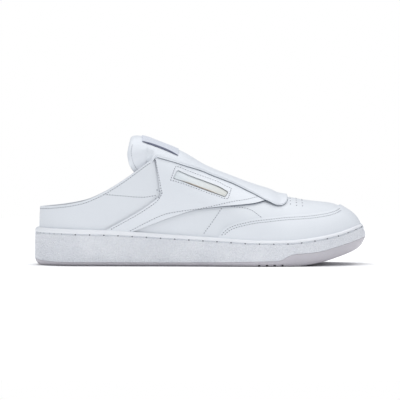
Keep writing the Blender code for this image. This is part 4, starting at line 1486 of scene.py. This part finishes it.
        window = self.window_line(-2.2 * MM, 160)
        toe = TOE_LINE.drawn(self.last, 260)
        toe = toe[toe[:, 0] < 123.5 * MM]
        return {
            "heel_row": (drawn((-85.5, 63.7), (-67.6, 62.2), (-52, 61.2), (-40.4, 62.7)), False, both),
            "tack_upper": (drawn((-38.6, 67.4), (-35.6, 66.2), (-34.2, 64.6)), True, both),
            "tack_lower": (drawn((-39.6, 59.6), (-37.0, 61.0), (-34.9, 62.9)), True, both),
            "rear_row": (drawn((-40.3, 93.0), (-37.6, 80.5), (-35.3, 69.0), (-34.6, 64.5), (-38.8, 57.4),
                               (-48.5, 50.4), (-59.2, 43.8), (-79.0, 32.9)), True, both),
            "sweep_row": (drawn((-62.0, 31.5), (-48.0, 38.8), (-32.0, 45.9), (-15.0, 49.0), (1.7, 51.1),
                                (26.8, 56.2), (40.0, 58.0), (53.0, 60.6)), True, both),
            "vamp_row": (drawn((18.5, 51.1), (10.8, 40.0), (3.2, 29.6)), False, both),
            "eyelet_row": (drawn((27.9, 53.2), (43.6, 50.5), (55.2, 42.7)), False, both),
            "window_row": (np.vstack([window, window[:1]]), True, outer),
            "toe_row": (beside(toe, -2.0 * MM)[8:], True, both),
            "toe_row_low": (beside(toe, -3.9 * MM)[14:], True, both),
        }

    def build_seams(self) -> list[bpy.types.Object]:
        """Builds every stitched row of the upper.

        Returns:
            The threads and needle holes.
        """
        made = []
        top = self.last.gap + self.overlay
        for name, (line, raised, sides) in self.seam_lines().items():
            for side in sides:
                path, out = self.on_side(line, side, top if raised else 0.0)
                made += Seam(f"{name}_{side.name.lower()}").build(path, out, self.materials)
        corner = self.corner()
        step = np.linspace(-corner * 0.985, corner * 0.985, 420)
        edge = self.crossing(step, lambda x: COLLAR.height(self.last, x) - 2.2 * MM)
        path = self.last.layer(step, -edge, np.array(0.0))
        made += Seam("collar_row").build(path, self.last.normal(step, -edge), self.materials)
        return made

    def build_perforations(self) -> bpy.types.Object:
        """Builds the rows of punched holes over the toe box, as dark discs of painted shade.

        Returns:
            The holes.
        """
        frames = []
        for x, reach in ((80.4, 21.5), (85.9, 22.5), (91.2, 21.5)):
            across = np.linspace(-reach, reach, 8 if reach < 22 else 9)
            y = across * MM + float(self.last.middle(np.array(x * MM)))
            step, share = self.last.under(np.full_like(y, x * MM), y)
            place, out = self.last.surface(step, share), self.last.normal(step, share)
            ahead = np.tile([[1.0, 0.0, 0.0]], (len(y), 1))
            frames.append(Seam.axes(place - ahead * MM, place + ahead * MM, place, out, 0.6 * MM,
                                    round_hole=True))
        bpy.ops.object.select_all(action="DESELECT")
        bpy.ops.mesh.primitive_uv_sphere_add(segments=12, ring_count=6, radius=1.0)
        holes = scatter("toe_perforations", bpy.context.object, np.vstack(frames))
        dress(holes, "upper_leather", self.materials["needle_hole"])
        smooth_shade(holes, 80.0)
        return holes


# The tongue

@dataclass
class Tongue:
    """The padded tongue: a head that stands out of the collar, and a strip down to a tab."""

    last: Last
    materials: dict[str, bpy.types.Material]
    edge_thickness: float = 2.2 * MM
    strip_edge: float = 1.5 * MM
    crown_thickness: float = 3.1 * MM
    tab_thickness: float = 2.4 * MM
    pad_thickness: float = 6.8 * MM
    head_rounding: float = 6 * MM
    fold: tuple[float, float] = (0.4 * MM, 4.8 * MM)
    wall: float = 2.2 * MM
    overlay: float = 1.3 * MM
    clearance: float = 0.5 * MM
    corner_drop: float = 2.6 * MM
    label_size: tuple[float, float] = (34 * MM, 31.9 * MM)
    label_x: tuple[float, float] = (-53.6 * MM, -21.8 * MM)
    rim_row: float = 3.7 * MM
    columns: int = 60
    edge_columns: int = 1
    row_top: float = 105 * MM

    def corner_x(self) -> float:
        """Returns x of the corner where collar and strip meet."""
        return float(self.last.x_at(COLLAR.along[-1]))

    def rest(self, x: np.ndarray) -> np.ndarray:
        """Returns how far the strip's underside lies from the last."""
        share = self.last.share(x)
        return mix(self.last.gap + self.overlay + 0.1 * MM, self.last.gap, ramp(share, 0.700, 0.750))

    def strip_top(self, points: np.ndarray) -> np.ndarray:
        """Returns how far the strip's face lies from the last."""
        x, y = points[..., 0], points[..., 1]
        share = self.last.share(x)
        crown = mix(self.crown_thickness, self.tab_thickness, ramp(share, 0.640, 0.750))
        lean = np.minimum(1.0, np.abs(y - self.last.middle(x)) / (self.last.ball_width * 0.26))
        edge = mix(self.edge_thickness, self.strip_edge, ramp(x, self.corner_x(), -20 * MM))
        return self.rest(x) + mix(crown, edge, lean**2)

    def blend(self, x: np.ndarray) -> np.ndarray:
        """Returns 0 on the strip and 1 on the head."""
        return ramp(self.corner_x() - x, *self.fold)

    def rim_share(self, points: np.ndarray) -> np.ndarray:
        """Returns 0 at the head's rim and 1 once the pad is full."""
        rim = HEAD_EDGE.drawn(self.last, 80)
        place = points[..., [0, 2]]
        near = np.min(np.linalg.norm(place[..., None, :] - rim, axis=-1), axis=-1)
        return np.minimum(1.0, near / self.head_rounding)

    def top(self, points: np.ndarray) -> np.ndarray:
        """Returns how far the tongue's face lies from the last at points of the last."""
        x, z = points[..., 0], points[..., 2]
        strip = self.strip_top(points)
        above = z - COLLAR.height(self.last, x)
        reach = mix(6 * MM, 15 * MM, ramp(self.corner_x() - x, 0.0, self.label_size[0] / 2))
        tucked = -self.wall - 2 * self.last.gap
        rise = np.clip((above - self.clearance * 2) / (reach - self.clearance * 2), 0.0, 1.0)
        head = mix(tucked, strip, rise * rise * (3 - 2 * rise))
        head -= self.edge_thickness * 0.8 * (1.0 - self.rim_share(points)) ** 2
        return mix(strip, head, self.blend(x))

    def back(self, points: np.ndarray) -> np.ndarray:
        """Returns how far the tongue's lining lies from the last at points of the last."""
        top, rest = self.top(points), self.rest(points[..., 0])
        pad = mix(self.edge_thickness, self.pad_thickness, np.sqrt(self.rim_share(points)))
        head = mix(rest, top - pad, self.blend(points[..., 0]))
        return np.where(self.blend(points[..., 0]) > 0, np.minimum(head, top - self.edge_thickness), rest)

    def low_edge(self, x: np.ndarray) -> np.ndarray:
        """Returns the height of the strip's edge, which drops inside the collar behind its corner."""
        corner, fold = self.corner_x(), self.corner_x() - self.fold[1] - 1.4 * MM
        strip = STRIP_EDGE.height(self.last, x)
        collar = COLLAR.height(self.last, x) + self.clearance
        inside = mix(self.last.lip(x), self.last.ridge(x), 0.61)
        behind = mix(inside, collar, ramp(x, fold - 3 * MM, fold))
        return np.where(x > corner + 0.2 * MM, strip, behind - self.corner_drop)

    def places(self) -> np.ndarray:
        """Lays out steps and shares across over the whole tongue, rows from rim to tab."""
        near = np.array([0.0, 0.12, 0.4, 0.85, 1.5, 2.4, 3.4, 3.8, 4.2]) * MM
        full = 46 * MM
        edge = 1.0 - near / full
        middle = np.linspace(edge[-1], 0.0, self.columns // 2)[1:]
        half = np.concatenate([edge, middle])
        across = np.concatenate([-half, half[-2::-1]])
        first = float(self.last.x_at(0.334))
        tip_x = float(self.last.x_at(TAB_TIP))
        inner = np.arange(first, tip_x - near[-1], 1.5 * MM)
        xs = np.concatenate([inner, tip_x - near[::-1][1:]])
        low = self.low_edge(xs)
        share = self.half_share(xs, low)
        rows = share[:, None] * across[None, :]
        steps = self.last.step_at(np.broadcast_to(xs[:, None], rows.shape), rows)
        body = np.stack([steps, rows], axis=-1)
        rim = HEAD_EDGE.drawn(self.last, 400)[::-1]
        step, cross = self.last.seen_at(rim[:, 0], rim[:, 1], Side.OUTER)
        points = self.last.surface(step, cross)
        run = np.concatenate([[0.0], np.cumsum(np.linalg.norm(np.diff(points, axis=0), axis=1))])
        at = (1.0 - np.abs(across)) * run[-1]
        rail = np.stack([np.interp(at, run, step), np.interp(at, run, -cross) * np.sign(across)], axis=-1)
        wide = float(np.linalg.norm(self.last.surface(*body[0, len(across) // 2])
                                    - self.last.surface(*rail[len(across) // 2])))
        inside = np.arange(near[-1], wide, 1.5 * MM)[1:-1]
        shares = np.concatenate([near, inside]) / wide
        head = rail[None] * (1 - shares[:, None, None]) + body[0][None] * shares[:, None, None]
        return np.concatenate([head, body])

    @staticmethod
    def from_border(points: np.ndarray) -> np.ndarray:
        """Returns how far the points of a grid lie from its border, along its rows and columns."""
        near = np.full(points.shape[:2], np.inf)
        for axis in (0, 1):
            steps = np.linalg.norm(np.diff(points, axis=axis), axis=-1)
            run = np.insert(np.cumsum(steps, axis=axis), 0, 0.0, axis=axis)
            whole = run[-1:] if axis == 0 else run[:, -1:]
            near = np.minimum(near, np.minimum(run, whole - run))
        return near

    def step_of_corner(self) -> float:
        """Returns the last's step where collar and strip meet."""
        x = np.array([self.corner_x() + 1.0 * MM])
        return float(self.last.seen_at(x, STRIP_EDGE.height(self.last, x), Side.OUTER)[0][0])

    def half_share(self, x: np.ndarray, z: np.ndarray) -> np.ndarray:
        """Returns the shares from the ridge at which constant-x lines reach heights."""
        low, high = np.zeros_like(x), np.ones_like(x)
        for _ in range(22):
            half = (low + high) / 2
            above = self.last.surface(self.last.step_at(x, half), half)[..., 2] > z
            low, high = np.where(above, half, low), np.where(above, high, half)
        return (low + high) / 2

    def build(self) -> bpy.types.Object:
        """Builds the padded tongue from its face and its lining.

        Returns:
            The tongue.
        """
        place = self.places()
        step, across = place[..., 0], place[..., 1]
        base = self.last.surface(step, across)
        near = self.from_border(base)
        round_share = np.clip(near / (1.6 * MM), 0.0, 1.0)
        rise = np.sqrt(np.clip(1.0 - (1.0 - round_share) ** 2, 0.0, 1.0))
        top, back = self.top(base), self.back(base)
        head = self.blend(base[..., 0])
        meet = mix(back, (top + back) / 2, head)
        row = np.exp(-((near - self.rim_row) / (0.7 * MM)) ** 2) * head
        face = mix(meet, top - row * 0.55 * MM, rise)
        lining = mix(meet, back, rise)
        normal = self.last.normal(step, across)
        outer = base + normal * face[..., None]
        inner = base + normal * lining[..., None]
        parts = [add_grid("tongue_pad", outer), add_grid("tongue_lining", inner[:, ::-1])]
        names = ("tongue_leather", "lining_cloth", "cut_edge")
        finishes = [self.materials[name] for name in names]
        for part in parts:
            for finish in finishes:
                part.data.materials.append(finish)
        # The strip's outermost columns take the dark edge material: painted shadow under the strip's edge.
        rows, edge = len(base) - 1, self.edge_columns * (len(base) - 1)
        corner = self.step_of_corner()
        for face in parts[0].data.polygons:
            along = place[face.index % rows, face.index // rows]
            at_side = face.index < edge or face.index >= rows * (base.shape[1] - 1) - edge
            if at_side and along[0] > corner:
                face.material_index = 2
        for face in parts[1].data.polygons:
            face.material_index = 1
        tongue = join("tongue_pad", parts, merge=0.02 * MM)
        slots = [polygon.material_index for polygon in tongue.data.polygons]
        dress(tongue, "tongue_leather", *finishes, stands_for="tongue")
        tongue.data.polygons.foreach_set("material_index", slots)
        smooth_shade(tongue, 70.0)
        return tongue

    def build_rim_row(self) -> list[bpy.types.Object]:
        """Builds the stitched row that holds the head's rolled rim.

        Returns:
            The thread and the holes.
        """
        rim = HEAD_EDGE.drawn(self.last, 400)[::-1]
        step, cross = self.last.seen_at(rim[:, 0], rim[:, 1], Side.OUTER)
        rail = np.stack([np.concatenate([step, step[-2::-1]]),
                         np.concatenate([cross, -cross[-2::-1]])], axis=1)
        points = self.last.surface(rail[:, 0], rail[:, 1])
        normal = self.last.normal(rail[:, 0], rail[:, 1])
        run = np.gradient(points, axis=0)
        run /= np.linalg.norm(run, axis=1, keepdims=True)
        inward = np.cross(normal, run)
        inward *= np.sign(inward[len(inward) // 2, 0])
        moved = points + inward * self.rim_row
        keep = moved[:, 2] > COLLAR.height(self.last, moved[:, 0]) + 1.5 * MM
        keep &= moved[:, 2] < self.row_top
        path = moved + normal * (self.top(moved)[:, None] - 0.45 * MM)
        made = []
        for side in Side:
            mine = keep & (np.sign(cross[0]) * np.sign(rail[:, 1]) == np.sign(cross[0]) * side.value)
            made += Seam(f"tongue_rim_row_{side.name.lower()}").build(path[mine], normal[mine], self.materials)
        return made

    def build_label(self) -> bpy.types.Object:
        """Builds the woven label on top of the head.

        Returns:
            The label.
        """
        width, _ = self.label_size
        x = np.linspace(*self.label_x, 26)[:, None]
        y = np.linspace(-width / 2, width / 2, 28)[None, :] + float(self.last.middle(np.array(self.corner_x())))
        x, y = np.broadcast_arrays(x, y)
        step, across = self.last.under(x, y)
        base = self.last.surface(step, across)
        offset = self.top(base) + self.last.gap + 0.6 * MM
        label = add_grid("head_label", base + self.last.normal(step, across) * offset[..., None])
        dress(label, "woven_label", self.materials["label_weave"], stands_for="tongue_label")
        modify(label, "SOLIDIFY", thickness=0.6 * MM, offset=-1.0)
        modify(label, "BEVEL", width=0.2 * MM, segments=2, limit_method="ANGLE",
               angle_limit=math.radians(55.0))
        smooth_shade(label, 50.0)
        return label


# The studio

@dataclass
class Studio:
    """The pale floor, the soft lights and the camera."""

    elevation: float = math.radians(1.5)
    distance: float = 3.0
    lens: float = 300.0
    sensor: float = 36.0

    def aim(self) -> Vector:
        """Returns the place that the middle of the picture shows."""
        middle = PHOTO_SIZE / 2
        return Vector(((middle - ORIGIN_PIXEL[0]) * PHOTO_SCALE, 0.0,
                       (ORIGIN_PIXEL[1] - middle) * PHOTO_SCALE))

    def add_camera(self) -> None:
        """Adds the camera, level along the shoe's outer side."""
        aim = self.aim()
        back = Vector((0.0, -math.cos(self.elevation), math.sin(self.elevation)))
        bpy.ops.object.camera_add(location=aim + back * self.distance,
                                  rotation=Euler((math.pi / 2 - self.elevation, 0.0, 0.0)))
        camera = bpy.context.object
        camera.data.lens = self.lens
        camera.data.sensor_width = self.sensor
        bpy.context.scene.camera = camera

    def add_floor(self) -> None:
        """Adds the plain pale floor, which glows evenly except for a painted contact shadow under the shoe."""
        bpy.ops.mesh.primitive_plane_add(size=2.6)
        floor = bpy.context.object
        floor.name = "floor"
        material = bpy.data.materials.new("floor")
        material.use_nodes = True
        shader = material.node_tree.nodes["Principled BSDF"]
        shader.inputs["Base Color"].default_value = (0.9, 0.9, 0.9, 1.0)
        shader.inputs["Roughness"].default_value = 1.0
        shader.inputs["Specular IOR Level"].default_value = 0.0
        board = Board(material.node_tree)
        axes = board.add("SeparateXYZ", {0: board.add("TexCoord").outputs["Object"]})
        # Painted contact shadow: the glow fades out over the shoe's footprint.
        reach = [board.math("POWER", board.math("ABSOLUTE", board.math("DIVIDE", axes.outputs[key], half)), 4.0)
                 for key, half in (("X", 0.150), ("Y", 0.056))]
        outside_painted_shadow = board.span(board.math("ADD", *reach), 0.6, 1.5, 0.0, 1.0)
        glow = board.blend(outside_painted_shadow, (0.0, 0.0, 0.0, 1.0), (1.0, 1.0, 1.0, 1.0))
        board.tree.links.new(glow, shader.inputs["Emission Color"])
        shader.inputs["Emission Strength"].default_value = 0.3
        floor.data.materials.append(material)

    def add_light(self, place: tuple[float, float, float], size: float, power: float) -> None:
        """Adds one soft square light aimed at the shoe."""
        toward = Vector((0.0, 0.0, 0.05)) - Vector(place)
        bpy.ops.object.light_add(type="AREA", location=place,
                                 rotation=toward.to_track_quat("-Z", "Y").to_euler())
        lamp = bpy.context.object.data
        lamp.size = size
        lamp.energy = power

    def build(self) -> None:
        """Builds the studio."""
        bpy.ops.object.select_all(action="DESELECT")
        self.add_floor()
        self.add_camera()
        self.add_light((0.0, 0.2, 2.0), 2.4, 33.0)
        self.add_light((-0.9, -2.2, 1.0), 1.6, 5.6)
        self.add_light((1.3, -1.8, 0.9), 1.4, 3.3)
        world = bpy.data.worlds.new("studio")
        world.use_nodes = True
        board = Board(world.node_tree)
        shader = world.node_tree.nodes["Background"]
        seen = board.add("LightPath").outputs["Is Camera Ray"]
        colour = board.blend(seen, (0.39, 0.40, 0.42, 1.0), (1.0, 1.0, 1.0, 1.0))
        board.tree.links.new(colour, shader.inputs["Color"])
        bpy.context.scene.world = world
        bpy.context.scene.view_settings.view_transform = "Standard"


def main() -> None:
    """Builds the shoe around its frame, then the studio."""
    logging.basicConfig(level=logging.INFO, format="%(message)s")
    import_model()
    materials = make_materials()
    last = Last()
    sole = Sole(last, materials)
    sole.build_cup()
    sole.build_tread()
    sole.build_insole()
    sole.build_stitches()
    upper = Upper(last, materials)
    upper.build_shell()
    upper.build_toe_overlay()
    upper.build_quarter(Side.OUTER)
    upper.build_quarter(Side.INNER)
    upper.build_window()
    upper.build_seams()
    upper.build_perforations()
    tongue = Tongue(last, materials)
    tongue.build()
    tongue.build_rim_row()
    tongue.build_label()
    Studio().build()


if __name__ == "__main__":
    main()
